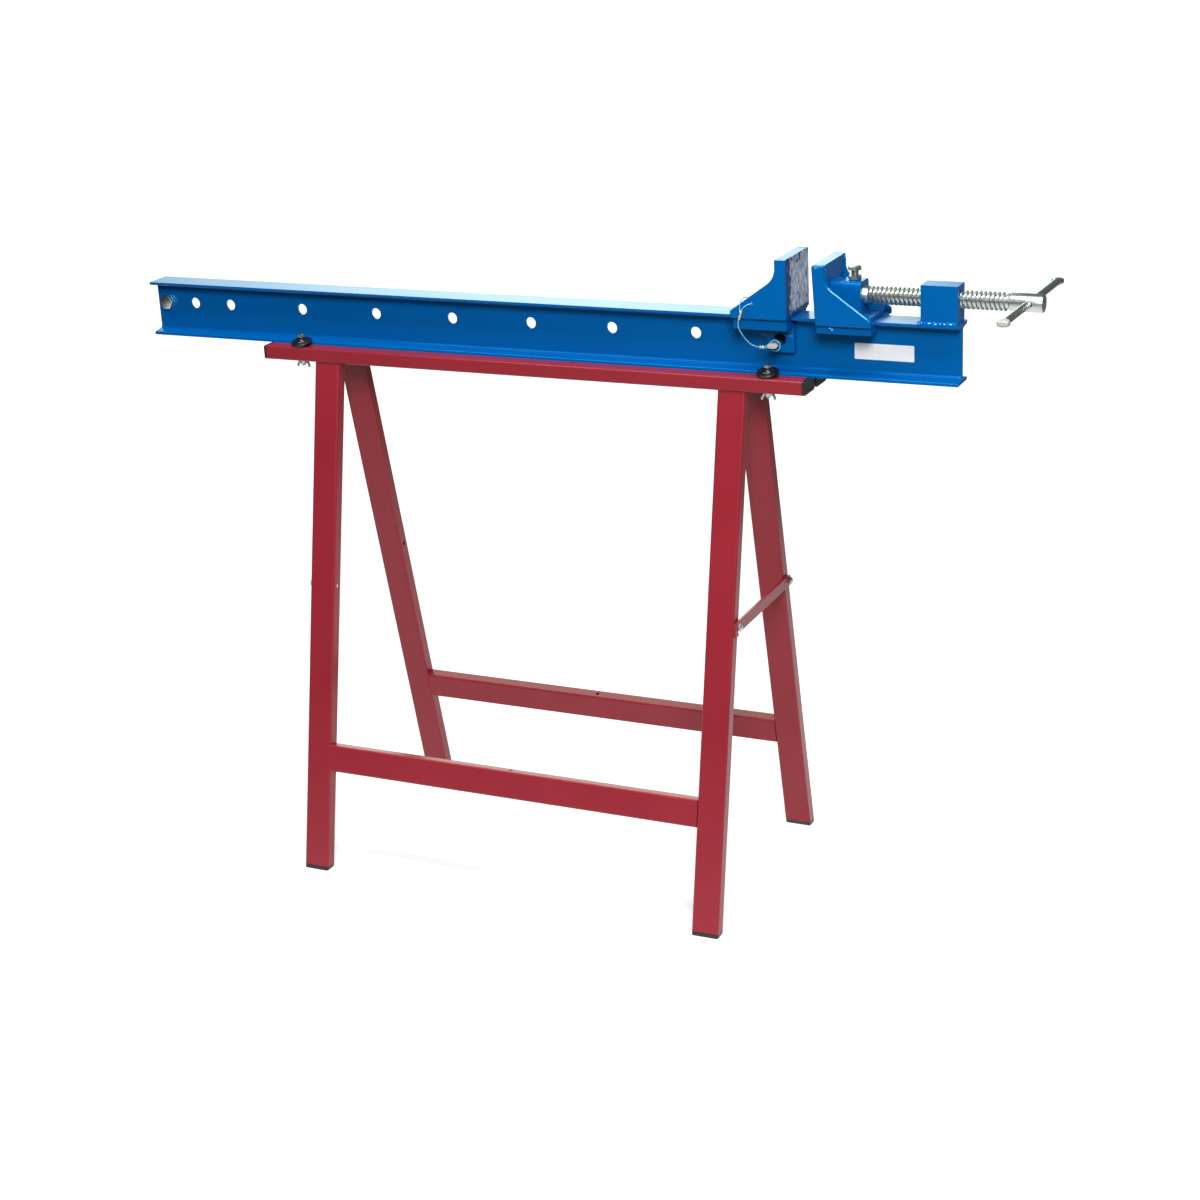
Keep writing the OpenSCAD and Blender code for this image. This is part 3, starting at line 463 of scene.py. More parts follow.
BLUE = blue_enamel()
RUBBED = rubbed_jaw_face()
RED = red_powder_coat()
ZINC = zinc_plate()
BAR_ZINC = hammered_zinc("zinc_bar_with_hammered_end", TOMMY_SHIFT, 125)
PIN_ZINC = hammered_zinc("zinc_pin_with_hammered_end", 0, 33)
NYLON = black_nylon()
POLYTHENE = black_polythene()
# Clear blue vinyl over twisted steel wire: pale sky blue with a wet shine
VINYL = mottled_finish("clear_blue_vinyl_on_wire", 1.5, 1, ("#3F9EDC", "#8ACCF2"),
                       {"Roughness": 0.18, "IOR": 1.53})
# Pressed aluminium sleeve: pale dull silver with faint press marks
ALUMINIUM = mottled_finish("pressed_aluminium", 2, 3, ("#B9BDBE", "#DDE0E0"),
                           {"Metallic": 1, "Roughness": 0.36})
# Blank coated paper label: clean white, faintly uneven, a little shine
PAPER = mottled_finish("white_coated_paper", 6, 4, ("#E4E6EA", "#F2F3F5"), {"Roughness": 0.4, "IOR": 1.5})
# Enamel scraped thin on the steel under it: dull greyed blue with fine marks
SCRAPED = mottled_finish("scraped_blue_enamel", 1.5, 4, ("#3C6288", "#4C749E"),
                         {"Roughness": 0.5, "IOR": 1.5})
# Painted highlight: pale blue with a wet shine, laid on a sharp edge and on beads of spatter to stand for the
# light the enamel catches there
PAINTED_HIGHLIGHT = mottled_finish("painted_highlight_pale_blue", 2.5, 3, ("#86D2EC", "#A8ECFA"),
                        {"Roughness": 0.25, "IOR": 1.5})

# Tether: a coated wire cord from the tail jaw's cheek to a loop over the lock pin
CORD_D = 1.6
LOOP_Y = -29.85
LOOP_R = 7.3
LOOP_Z = -3.9


def tether_route(points):
    """Points of the tether in metres, from millimetres whose x and z count from the lock pin's hole."""
    return [spot(PIN_X + x, y, PIN_Z + z) for x, y, z in points]


CORD_ROUTE = tether_route([
    (-42.8, -49, 34), (-43.6, -49, 31), (-44.2, -48.4, 27), (-44.2, -47, 22), (-43, -44.8, 16.9),
    (-41.1, -42.2, 11.7), (-38.7, -39, 6), (-35.7, -35.4, 0.6), (-31.8, -32.2, -3.9),
    (-27.3, LOOP_Y, -6.5), (-24.3, LOOP_Y, -6.7), (-22.3, LOOP_Y, -6.7)])
JAW_LOOP_ROUTE = tether_route([
    (-38.8, -49, 44.6), (-38, -49, 47), (-35.4, -49, 50), (-32, -48.8, 52.6), (-29, -48, 54),
    (-27, -46, 54.6), (-26.6, -42.5, 54.8), (-27.2, -38.6, 55.6), (-29.8, -37.4, 58), (-33.2, -38, 60.4),
    (-35.6, -40.6, 62), (-37.4, -44, 62), (-39, -47, 59.4), (-40.4, -48.8, 55), (-41.2, -49, 50.4),
    (-41.2, -49, 47), (-41.2, -49, 44.6)])
PIN_LOOP_ROUTE = tether_route(
    [(-15.5, LOOP_Y, -5.9), (-13, LOOP_Y, -5.7)]
    + [(LOOP_R * math.cos(a), LOOP_Y, LOOP_R * math.sin(a) + LOOP_Z)
       for a in (math.radians(150 - 30 * i) for i in range(11))]
    + [(-13, LOOP_Y, -7.7), (-15.5, LOOP_Y, -7.5)])


def make_tether():
    for name, node, route, body in (("tether_eye_on_jaw", "tether_jaw_loop", JAW_LOOP_ROUTE, "tail_jaw"),
                                    ("tether_eye_on_pin", "tether_pin_loop", PIN_LOOP_ROUTE, "lock_pin")):
        work = bmesh.new()
        add_tube(work, curve_through(route), CORD_D / 2 * MM)
        piece(name, work, VINYL, body, [node])
    work = bmesh.new()
    line = curve_through(CORD_ROUTE)
    add_tube(work, line, CORD_D / 2 * MM)
    cord = piece("tether_wire_cord", work, VINYL, None, ["tether_cord"])
    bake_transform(cord)


make_tether()


# Finishes of the solids that are shown as they are, with the small rounding that paint and rolling leave
ROUNDED = {"beam": 0.8, "nut_block": 1.0, "tail_jaw_plate": 0.9, "front_jaw_plate": 0.9, "screw_hub": 0.8,
           "tail_jaw_base": 0.8, "front_jaw_base": 0.8, "lock_plate_near": 0.8, "lock_plate_far": 0.8,
           "rail_front": 0.3, "rail_rear": 0.3, "rail_end_caps": 0.5, "rail_cross_plates": 0.5,
           "front_feet": 0.8, "rear_feet": 0.8, "stay_bar": 0.5}
for jaw, cheek_rounding in (("tail", 1.6), ("front", 2.2)):
    for end in ("near", "far"):
        ROUNDED[f"{jaw}_jaw_cheek_{end}"] = cheek_rounding
        ROUNDED[f"{jaw}_jaw_guide_{end}"] = 0.8
SLOT_FINISH = {"blue_paint": BLUE, "red_paint": RED, "zinc_plated_steel": ZINC, "black_plastic": POLYTHENE,
               "bare_steel": RUBBED, "tether_cord_coat": VINYL}


def dress_solids():
    slots = {s["node"]: s["material_slot"] for s in frame["record"]["subparts"]}
    for name, solid in frame["nodes"].items():
        solid.data.materials.clear()
        solid.data.materials.append(SLOT_FINISH[slots[name]])
        if name in ROUNDED:
            weld = solid.modifiers.new("join_edges", "WELD")
            weld.merge_threshold = 0.01 * MM
            flat = solid.modifiers.new("whole_faces", "DECIMATE")
            flat.decimate_type = "DISSOLVE"
            flat.angle_limit = math.radians(0.5)
            bevel = solid.modifiers.new("soft_edges", "BEVEL")
            bevel.width = ROUNDED[name] * MM
            bevel.segments = 3
            bevel.limit_method = "ANGLE"
            bevel.angle_limit = math.radians(40)
            bevel.harden_normals = True
            bevel.loop_slide = False


dress_solids()


# Screw: neck with a groove for the keeper bolt, thread, and cross-drilled head
SCREW_R = 12
SCREW_START, NECK_END, HEAD_START, SCREW_END = 1082.8, 1125, 1311.7, 1356
GROOVE_START, GROOVE_END, GROOVE_R = 1099.6, 1110.5, 7
THREAD_CORE, THREAD_PITCH, THREAD_FOOT, THREAD_CREST = 8.7, 6, 4.2, 2.1
CROSS_X = 1337
TOMMY_R = 5
TOMMY_TURN = -1.2


def cross_hole_place():
    """The middle of the screw head's cross hole, with Y along the tommy bar."""
    turn = Matrix.Rotation(math.radians(TOMMY_TURN), 4, "X")
    return Matrix.Translation(spot(CROSS_X, 0, SCREW_Z)) @ turn


def make_screw():
    along = facing(0, 0, SCREW_Z, "+x")
    work = bmesh.new()
    add_lathe(work, [
        (0, SCREW_START), (SCREW_R - 1, SCREW_START), (SCREW_R, SCREW_START + 1), (SCREW_R, GROOVE_START),
        (GROOVE_R, GROOVE_START), (GROOVE_R, GROOVE_END), (SCREW_R, GROOVE_END), (SCREW_R, NECK_END - 1.5),
        (SCREW_R - 0.8, NECK_END), (THREAD_CORE, NECK_END + 1.5), (THREAD_CORE, HEAD_START + 1),
        (0, HEAD_START + 1)], along)
    add_thread(work, NECK_END - 1, HEAD_START + 0.5, THREAD_CORE, SCREW_R, THREAD_PITCH, THREAD_FOOT,
               THREAD_CREST, along, 48)
    piece("screw_thread", work, ZINC, "screw", ["screw_spindle"], 30)

    work = bmesh.new()
    add_lathe(work, [
        (0, HEAD_START), (SCREW_R - 1.5, HEAD_START), (SCREW_R, HEAD_START + 1.5), (SCREW_R, SCREW_END - 1.2),
        (SCREW_R - 0.4, SCREW_END - 0.4), (SCREW_R - 1.2, SCREW_END), (0, SCREW_END)], along, 64)
    head = piece("screw_head", work, ZINC, None, ["screw_spindle"], 30)
    drill_holes(head)
    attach(head, "screw")


def drill_holes(head):
    """Drills the head across, with a countersunk rim at both ends of the hole."""
    hole_r = TOMMY_R + RUN_FIT
    sink_start, drill_end, sink_r = SCREW_R - 1.2, 20, hole_r + 10
    work = bmesh.new()
    place = cross_hole_place() @ Matrix.Rotation(math.radians(90), 4, "X")
    add_lathe(work, [(0, -drill_end), (sink_r, -drill_end), (hole_r, -sink_start), (hole_r, sink_start),
                     (sink_r, drill_end), (0, drill_end)], place)
    drill = piece("drill", work, ZINC)
    cut = head.modifiers.new("cross_hole", "BOOLEAN")
    cut.object = drill
    cut.solver = "EXACT"
    drilled = bpy.data.meshes.new_from_object(head.evaluated_get(bpy.context.evaluated_depsgraph_get()))
    head.modifiers.clear()
    head.data = drilled
    head.data.set_sharp_from_angle(angle=math.radians(30))
    bpy.data.objects.remove(drill)


# Bars with hammered ends
def add_flattened_bar(work, place, stations, hammered):
    """A bar along the place's Y. hammered gives a station's half width, half thickness and squareness."""
    sides = 40
    rings = []
    for along in stations:
        wide, thick, power = hammered(along)
        ring = []
        for k in range(sides):
            a = 2 * math.pi * k / sides
            c, s = math.cos(a), math.sin(a)
            ring.append(work.verts.new(place @ (Vector((
                wide * math.copysign(abs(c) ** (2 / power), c), along,
                thick * math.copysign(abs(s) ** (2 / power), s))) * MM)))
        rings.append(ring)
    skin(work, rings)


def hammer(r, past, flare, wide, thick, left, turn, trim):
    """Half width, half thickness and squareness of a bar's end: past is the way beyond the flare's start,
    left the way to the end, which is rounded off over the length turn, by trim at each side."""
    t = min(1, max(0, past / flare))
    t = t * t * (3 - 2 * t)
    half_w, half_t = r + (wide / 2 - r) * t, r + (thick / 2 - r) * t
    if left < turn:
        close = math.sqrt(max(0.04, 1 - (1 - left / turn) ** 2))
        half_w, half_t = half_w - trim * (1 - close), half_t * (1 - 0.65 * trim / 3 * (1 - close))
    return half_w, half_t, 2 + 1.2 * t


def end_steps(turn):
    """Ways from a bar's end to the rings of its rounding."""
    return [turn * (1 - math.sin(math.radians(a))) for a in range(0, 91, 10)]


def make_tommy_bar():
    """A round bar whose ends are hammered wide."""
    half, flare_start, flare = 140, 125.5, 6
    paddle_w, paddle_t, turn, trim = 16, 9, 3.5, 3
    stations = [0, 40, 80, 110, 122] + [flare_start + 0.75 * i for i in range(9)] + [133, 135]
    stations += [half - step for step in end_steps(turn)]
    stations = [-s for s in stations[:0:-1]] + stations
    work = bmesh.new()
    place = cross_hole_place() @ Matrix.Translation((0, TOMMY_SHIFT * MM, 0))
    add_flattened_bar(work, place, stations, lambda along: hammer(
        TOMMY_R, abs(along) - flare_start, flare, paddle_w, paddle_t, half - abs(along), turn, trim))
    piece("tommy_bar_forged", work, BAR_ZINC, "tommy_bar", ["tommy_bar"], 50)


def make_lock_pin():
    """A round pin with a chamfered tip, hammered flat at the end that keeps the tether's loop on."""
    pin_r, drop = 5, 2.7
    nose, tip, tip_r = -41.45, -2.95, 3.5
    flare_start, flare, end_w, end_t, turn, trim = 10, 5, 14, 6, 1.4, 1
    stations = [nose + step for step in end_steps(turn)[::-1]] + [nose + 2.6 + 0.8 * i for i in range(10)]
    stations += [-24, -14, tip - 1.5, tip]

    def hammered(along):
        if along == tip:
            return tip_r, tip_r, 2
        return hammer(pin_r, nose + flare_start - along, flare, end_w, end_t, along - nose, turn, trim)

    work = bmesh.new()
    add_flattened_bar(work, facing(PIN_X, 0, PIN_Z - drop, "+z"), stations, hammered)
    piece("lock_pin_forged", work, PIN_ZINC, "lock_pin", ["lock_pin"], 50)


# Fasteners, each with its diameter, the width across its flats and the height of its head
STOP_BOLT = (12, 19.2, 7.8)
KEEPER_BOLT = (10, 16, 5)
FRAME_BOLT = (6, 9.6, 3.9)
FLAT_UP = 30


def add_bolt(work, size, length, place, thread=0, pitch=1.5):
    """A hexagon bolt: the head's underside is at the place, which looks out along the head."""
    d, across_flats, head = size
    r = d / 2
    add_hex(work, across_flats, head, place)
    if not thread:
        shank = [(0, -length), (r - 0.7, -length), (r, -length + 0.7), (r, 0.2), (0, 0.2)]
        add_lathe(work, shank, place, 32)
        return
    core = r - 0.6 * pitch
    add_lathe(work, [(0, -length), (core - 0.4, -length), (core, -length + 0.4), (core, -length + thread),
                     (r, -length + thread), (r, 0.2), (0, 0.2)], place, 32)
    add_thread(work, -length + 0.3, -length + thread, core, r, pitch, pitch * 0.85, pitch * 0.2, place, 20)


def add_nut(work, size, height, place):
    d, across_flats, _ = size
    add_hex(work, across_flats, height, place, d / 2 + RUN_FIT, True)


def make_end_stop():
    """The stop bolt through the web's tail end, with paint gathered in a ring round its head."""
    stop_x, length, thread, pitch, nut_h = 17, 16.5, 13, 1.75, 9.6
    place = facing(stop_x, -WEB_T / 2, PIN_Z, "-y", FLAT_UP)
    work = bmesh.new()
    add_bolt(work, STOP_BOLT, length, place, thread, pitch)
    piece("end_stop_hex_bolt", work, ZINC, "clamp_and_stand", ["end_stop_bolt"])
    work = bmesh.new()
    add_nut(work, STOP_BOLT, nut_h, facing(stop_x, WEB_T / 2, PIN_Z, "+y"))
    piece("end_stop_hex_nut", work, ZINC, "clamp_and_stand", ["end_stop_nut"])
    work = bmesh.new()
    ring = [(11.9, -0.1), (12.3, 0.4), (12.9, 0.6), (13.5, 0.4), (13.9, -0.1)]
    add_lathe(work, ring, place, 48, True)
    piece("end_stop_paint_ring", work, BLUE, "clamp_and_stand")


def make_keeper():
    """The bolt through the hub's top that keeps the screw in by its groove, and its lock nut."""
    keeper_x, head_z, nut_z, length, nut_h = 1105.04, 907.3, 894.3, 25, 6
    work = bmesh.new()
    add_bolt(work, KEEPER_BOLT, length, facing(keeper_x, 0, head_z, "+z", FLAT_UP), length)
    piece("hub_keeper_bolt", work, ZINC, "front_jaw", ["hub_retaining_bolt"])
    work = bmesh.new()
    add_nut(work, KEEPER_BOLT, nut_h, facing(keeper_x, 0, nut_z, "+z", FLAT_UP))
    piece("hub_keeper_nut", work, ZINC, "front_jaw", ["hub_lock_nut"])


def make_stay_bolts():
    stay_x, stay_y, stay_z, stay_length = 968.1, 99.095, 428, 44.6
    spare_y, spare_z, spare_length = -100.37, 422, 40
    for name, y, body, node in (("stay_hook_stud", -stay_y, "clamp_and_stand", "stay_stud"),
                                ("stay_eye_bolt", stay_y, "rear_frame", "stay_pivot_bolt")):
        work = bmesh.new()
        add_bolt(work, FRAME_BOLT, stay_length, facing(stay_x, y, stay_z, "+x", FLAT_UP))
        piece(name, work, ZINC, body, [node])
    work = bmesh.new()
    spare = facing(LEG_XS[0] - TUBE_W / 2, spare_y, spare_z, "-x", FLAT_UP)
    add_bolt(work, FRAME_BOLT, spare_length, spare)
    piece("spare_hook_stud", work, ZINC, "clamp_and_stand", ["spare_stay_bolt"])


def make_hinge_bolts():
    hinge_y, hinge_z, length, thread, pitch, nut_h = 34.758, 730, 46.8, 8, 1, 4.8
    bolts, nuts = bmesh.new(), bmesh.new()
    for leg_x, way, out, back in ((LEG_XS[0], -1, "-x", "+x"), (LEG_XS[1], 1, "+x", "-x")):
        head_x, nut_x = leg_x + way * TUBE_W / 2, leg_x - way * TUBE_W / 2
        add_bolt(bolts, FRAME_BOLT, length, facing(head_x, hinge_y, hinge_z, out, FLAT_UP), thread, pitch)
        add_nut(nuts, FRAME_BOLT, nut_h, facing(nut_x, hinge_y, hinge_z, back, FLAT_UP))
    piece("hinge_hex_bolts", bolts, ZINC, "rear_frame", ["hinge_bolts"])
    piece("hinge_hex_nuts", nuts, ZINC, "rear_frame", ["hinge_nuts"])


# Hold-downs: round knobs that lean on the flange's edge, with a bolt and a wing nut
FLANGE_EDGE = 4.4
DISC_R = 15.5
DISC_BORE = 5.0
DISC_TILT = math.atan(FLANGE_EDGE / 23)
DISC_OUTLINE = ([(DISC_BORE, 0), (14.6, 0)] + round_corner(14.3, 1.2, 1.2, -90)
                + round_corner(14.3, 2.9, 1.2, 0) + [(12.5, 4.1), (11.6, 4.0), (8.6, 5.1)]
                + round_corner(6.1, 7.2, 0.8, 0) + [(DISC_BORE, 8)])
WING_HUB = [(3.06, 0), (5.2, 0), (5.5, -0.4), (5.5, -1.6), (4.7, -6.6), (4.3, -7), (3.06, -7)]
WING_T = 2.6
LEAF_SCALE = 0.88
LEAF = ([(3.9, -1.2), (6.4, -0.9), (8.6, -2.6), (10.6, -5.6), (12.1, -9.2), (12.5, -11.2)]
        + [(10.6 + 1.9 * math.cos(a), -11.8 - 2.2 * math.sin(a))
           for a in (math.pi * i / 8 for i in range(1, 8))]
        + [(8.4, -10.6), (7.2, -7.6), (5.6, -5.9), (3.9, -5.8)])


def make_hold_downs():
    thread, pitch = 14, 1
    discs, bolts = bmesh.new(), bmesh.new()
    low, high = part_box("hold_down_bolts")
    head_z = high.z / MM - FRAME_BOLT[2]
    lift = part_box("hold_down_discs")[0].z / MM + DISC_R * math.sin(DISC_TILT)
    for x in HOLD_XS:
        for side in (-1, 1):
            tilt = Matrix.Rotation(-side * DISC_TILT, 4, "X")
            place = Matrix.Translation(spot(x, side * HOLD_Y, lift)) @ tilt
            add_lathe(discs, DISC_OUTLINE, place, 64, True)
            add_bolt(bolts, FRAME_BOLT, head_z - low.z / MM,
                     facing(x, side * HOLD_Y, head_z, "+z", FLAT_UP), thread, pitch)
    piece("hold_down_knobs", discs, NYLON, "clamp_and_stand", ["hold_down_discs"], 40)
    piece("hold_down_hex_bolts", bolts, ZINC, "clamp_and_stand", ["hold_down_bolts"])


def wing_nut(name, x, y):
    """A pressed wing nut: a tapered hub with two leaf-shaped wings that hang and flare."""
    work = bmesh.new()
    place = facing(x, y, RAIL_UNDER - 0.3, "+z")
    add_lathe(work, WING_HUB, place, 32, True)
    for side in (1, -1):
        half = bmesh.new()
        add_plate(half, [(LEAF_SCALE * px * side * MM, -WING_T / 2 * MM, LEAF_SCALE * pz * MM)
                         for px, pz in LEAF], (0, WING_T, 0))
        rims = [e for e in half.edges if len(e.link_faces) == 2
                and any(len(f.verts) > 4 for f in e.link_faces)]
        bmesh.ops.bevel(half, geom=rims, offset=0.7 * MM, segments=3, affect="EDGES", profile=0.5)
        half.transform(place)
        bmesh.ops.recalc_face_normals(half, faces=half.faces)
        wing = bpy.data.meshes.new("wing")
        half.to_mesh(wing)
        half.free()
        work.from_mesh(wing)
        bpy.data.meshes.remove(wing)
    piece(name + "_pressed", work, ZINC, name, [name])


def make_wing_nuts():
    for x, end in zip(HOLD_XS, ("left", "right")):
        for side, row in ((-1, "front"), (1, "rear")):
            wing_nut(f"wing_nut_{row}_{end}", x, side * HOLD_Y)


def make_cap_panels():
    """The smooth sunk panel in the outer face of each rail cap."""
    wide, tall, corner_r, sunk, thick = 31.6, 11.6, 2, 1.05, 0.4
    outline = rounded_box(-wide / 2, wide / 2, -tall / 2, tall / 2, corner_r)
    low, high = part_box("rail_end_caps")
    work = bmesh.new()
    for face_x, way in ((high.x / MM, 1), (low.x / MM, -1)):
        x = face_x + MIDDLE_X - way * sunk
        for y in (low.y / MM + TUBE_W / 2, high.y / MM - TUBE_W / 2):
            add_plate(work, [spot(x, y + a, RAIL_UNDER + TUBE_T / 2 + b) for a, b in outline],
                      (way * thick, 0, 0))
    piece("rail_cap_panels", work, NYLON, "clamp_and_stand")


# Ferrules: pressed sleeves with two crimped waists
def make_ferrules():
    full_r, waist_r = 2.5, 2.15
    for name, body, start, end in (
            ("tether_jaw_ferrule", "tail_jaw", (-39.5, -49, 45.5), (-43, -49, 33.2)),
            ("tether_pin_ferrule", "lock_pin", (-22, LOOP_Y, -6.7), (-13.5, LOOP_Y, -6.7))):
        a, b = tether_route([start, end])
        long = (b - a).length / MM
        place = Matrix.Translation(a) @ (b - a).to_track_quat("Z", "Y").to_matrix().to_4x4()
        outline = [(0, 0), (1.9, 0), (2.4, 0.5)]
        for waist in (0.3, 0.7):
            outline += [(full_r, (waist - 0.12) * long), (waist_r, (waist - 0.05) * long),
                        (waist_r, (waist + 0.05) * long), (full_r, (waist + 0.12) * long)]
        outline += [(2.4, long - 0.5), (1.9, long), (0, long)]
        work = bmesh.new()
        add_lathe(work, outline, place, 32)
        piece(name + "_pressed", work, ALUMINIUM, body, [name])


# Welds under the paint
def add_bead(work, start, end, radius, draw, pitch=2.6):
    """A run of weld between two points, in millimetres, rippled like laid scales."""
    step = 0.65
    a, b = spot(*start), spot(*end)
    count = max(8, int((b - a).length / MM / step))
    sizes = [draw.uniform(0.85, 1.15) for _ in range(count + 1)]

    def swell(t):
        i = t * count
        ripple = 0.88 + 0.12 * abs(math.sin(math.pi * i * step / pitch))
        blunt = min(1, 0.45 + 3 * min(t, 1 - t) * count / 8)
        return radius * MM * ripple * blunt * sizes[round(i)]

    add_tube(work, [a.lerp(b, i / count) for i in range(count + 1)], swell, 10)


def add_spatter(work, spots, draw, flat=0.7, lean=0):
    """Beads of spatter, in millimetres: (x, y, z, radius), flattened along Z leaned to the near side."""
    for x, y, z, r in spots:
        squash = Matrix.Rotation(math.radians(lean), 4, "X") @ Matrix.Diagonal(
            (draw.uniform(0.9, 1.5), draw.uniform(0.9, 1.3), flat, 1))
        place = Matrix.Translation(spot(x, y, z)) @ squash
        bmesh.ops.create_icosphere(work, subdivisions=2, radius=r * MM, matrix=place)


def make_block_welds(draw):
    """Beads round the nut block's foot, with spatter and larger drops along its near side."""
    seam_y, seam_z = 15.4, BEAM_TOP + 0.6
    work = bmesh.new()
    for side in (-1, 1):
        add_bead(work, (BLOCK_START + 0.5, side * seam_y, seam_z), (BLOCK_END - 1, side * seam_y, seam_z),
                 2.6, draw)
    add_bead(work, (BLOCK_START - 0.4, -13, seam_z), (BLOCK_START - 0.4, 13, seam_z), 2.2, draw)
    lumps = [(draw.uniform(BLOCK_START - 3, BLOCK_END - 2), draw.choice((-1, -1, 1)) * draw.uniform(15.5, 20),
              BEAM_TOP + 0.3, draw.uniform(0.5, 1.5)) for _ in range(46)]
    add_spatter(work, lumps, draw)
    drops = [(BLOCK_START - 2 + 4.2 * i + draw.uniform(-1.4, 1.4), -draw.uniform(16.4, 18.4),
              BEAM_TOP + 1 + draw.uniform(-0.6, 0.8), draw.uniform(1.8, 3)) for i in range(12)]
    add_spatter(work, drops, draw, 0.45, 62)
    piece("nut_block_welds", work, BLUE, "clamp_and_stand", sharp=60)


def make_jaw_welds(draw):
    """Beads inside each jaw, between plate, cheeks, base and hub."""
    seam_y, seam_z, upright_z, plate_top = CHEEK_IN - 0.3, BASE_TOP + 0.5, BASE_TOP + 2, 915
    hub_y, hub_end, hub_top = 17.7, 1117, 886
    for jaw, plate_x, rear_x, way in (("tail_jaw", 1010, 952.5, -1), ("front_jaw", 1077.5, 1135, 1)):
        work = bmesh.new()
        for side in (-1, 1):
            y = side * seam_y
            x = plate_x + way * 0.3
            add_bead(work, (x, y, upright_z), (x, y, plate_top), 2, draw)
            add_bead(work, (plate_x + way * 2, y, seam_z), (rear_x - way * 2, y, seam_z), 1.8, draw)
            if jaw == "front_jaw":
                y = side * hub_y
                add_bead(work, (plate_x + 1.5, y, seam_z), (hub_end, y, seam_z), 2, draw)
                y = side * (hub_y - 0.1)
                add_bead(work, (x, y, upright_z), (x, y, hub_top), 1.8, draw)
        if jaw == "front_jaw":
            add_spatter(work, [(1084, -39.7, 837, 1.9), (1087.5, -39.7, 835.6, 1.3)], draw, 0.45, 75)
        piece(jaw + "_welds", work, BLUE, jaw, sharp=60)


def make_welds():
    draw = random.Random(7)
    make_block_welds(draw)
    make_jaw_welds(draw)


def make_label():
    """A blank label on the near side of the web."""
    outline = rounded_box(1104.4, 1185.9, BEAM_Z + 24.6, BEAM_Z + 46.3, 1.6)
    work = bmesh.new()
    add_plate(work, [spot(x, -WEB_T / 2 - 0.02, z) for x, z in outline], (0, -0.12, 0))
    piece("blank_label", work, PAPER, "clamp_and_stand")


# Marks in the paint, and painted highlights
SLOPE_EDGE = ((1083.4, 891.4), (1085.35, 889.16), (1088.8, 886.23), (1100, 878.3), (1112, 869.6),
              (1124, 861.1), (1136, 852.6))


def make_tail_jaw_marks():
    """A scraped band across the near lock plate, a run of paint gathered at the foot of the near cheek, and
    the worn far edge of the face."""
    work = bmesh.new()
    for outline in (((974, 818.4), (978.2, 814.2), (994.3, 814.2), (996.2, 818.4)),
                    ((1012, 817.2), (1012, 815.4), (1021.6, 815.4), (1021.6, 817.2))):
        add_plate(work, [spot(x, LOCK_PLATE_Y - 0.02, z) for x, z in outline], (0, -0.1, 0))
    piece("tail_jaw_scraped_band", work, SCRAPED, "tail_jaw")
    work = bmesh.new()
    run = [spot(x, 0.3 - CHEEK_OUT, BEAM_TOP + 1.7) for x in (949, 970, 990, 1010, 1023)]
    add_tube(work, run, 0.45 * MM, 8)
    piece("tail_jaw_paint_run", work, BLUE, "tail_jaw")
    work = bmesh.new()
    left, right, low, high = CHEEK_IN + 0.1, 44.2, BASE_TOP + 2, 922
    strip = ((left, low), (right, low), (right, high), (left, high))
    add_plate(work, [spot(TAIL_FACE_X + 0.02, y, z) for y, z in strip], (0.06, 0, 0))
    piece("tail_jaw_worn_far_edge", work, RUBBED, "tail_jaw")


def make_painted_highlights():
    """Painted highlights: a pale line along the front jaw's sloping edge, pale specks on its near side, and
    pale beads of spatter on the nut block, coloured to stand for where the enamel catches the light.
    """
    draw = random.Random(11)
    work = bmesh.new()
    # Painted highlight: a thin pale tube along the front jaw's sloping edge
    line = [spot(x, 0.55 - CHEEK_OUT, z) for x, z in SLOPE_EDGE]
    add_tube(work, curve_through(line), 0.5 * MM, 8)
    # Painted glints: pale specks on the near side of the front jaw
    add_spatter(work, [(1083.6, -39.9, 837.2, 1.5), (1086.6, -39.9, 835.4, 1.1), (1066.5, -45.4, 917, 0.7),
                       (1069.5, -45.4, 917.2, 0.6)], draw, 0.45, 80)
    piece("front_jaw_painted_highlight_edge", work, PAINTED_HIGHLIGHT, "front_jaw")
    work = bmesh.new()
    # Painted glints: pale beads of spatter along the nut block's near foot
    beads = [(x + draw.uniform(-1.5, 1.5), -draw.uniform(17.6, 19.4),
              BEAM_TOP + 1.2 + draw.uniform(-0.5, 0.9), draw.uniform(0.7, 1.25))
             for x in (1197, 1202, 1209, 1213, 1220, 1226, 1231, 1238)]
    add_spatter(work, beads, draw, 0.7, 40)
    piece("nut_block_spatter_painted_glints", work, PAINTED_HIGHLIGHT, "clamp_and_stand")


make_screw()
make_tommy_bar()
make_lock_pin()
make_end_stop()
make_keeper()
make_stay_bolts()
make_hinge_bolts()
make_hold_downs()
make_wing_nuts()
make_cap_panels()
make_ferrules()
make_welds()
make_label()
make_tail_jaw_marks()
make_painted_highlights()

# Studio: pale floor, white backdrop, a long soft box overhead and a square one at the right front
WHITE = (1, 1, 1, 1)
SMOOTH = {"interpolation_type": "SMOOTHSTEP"}


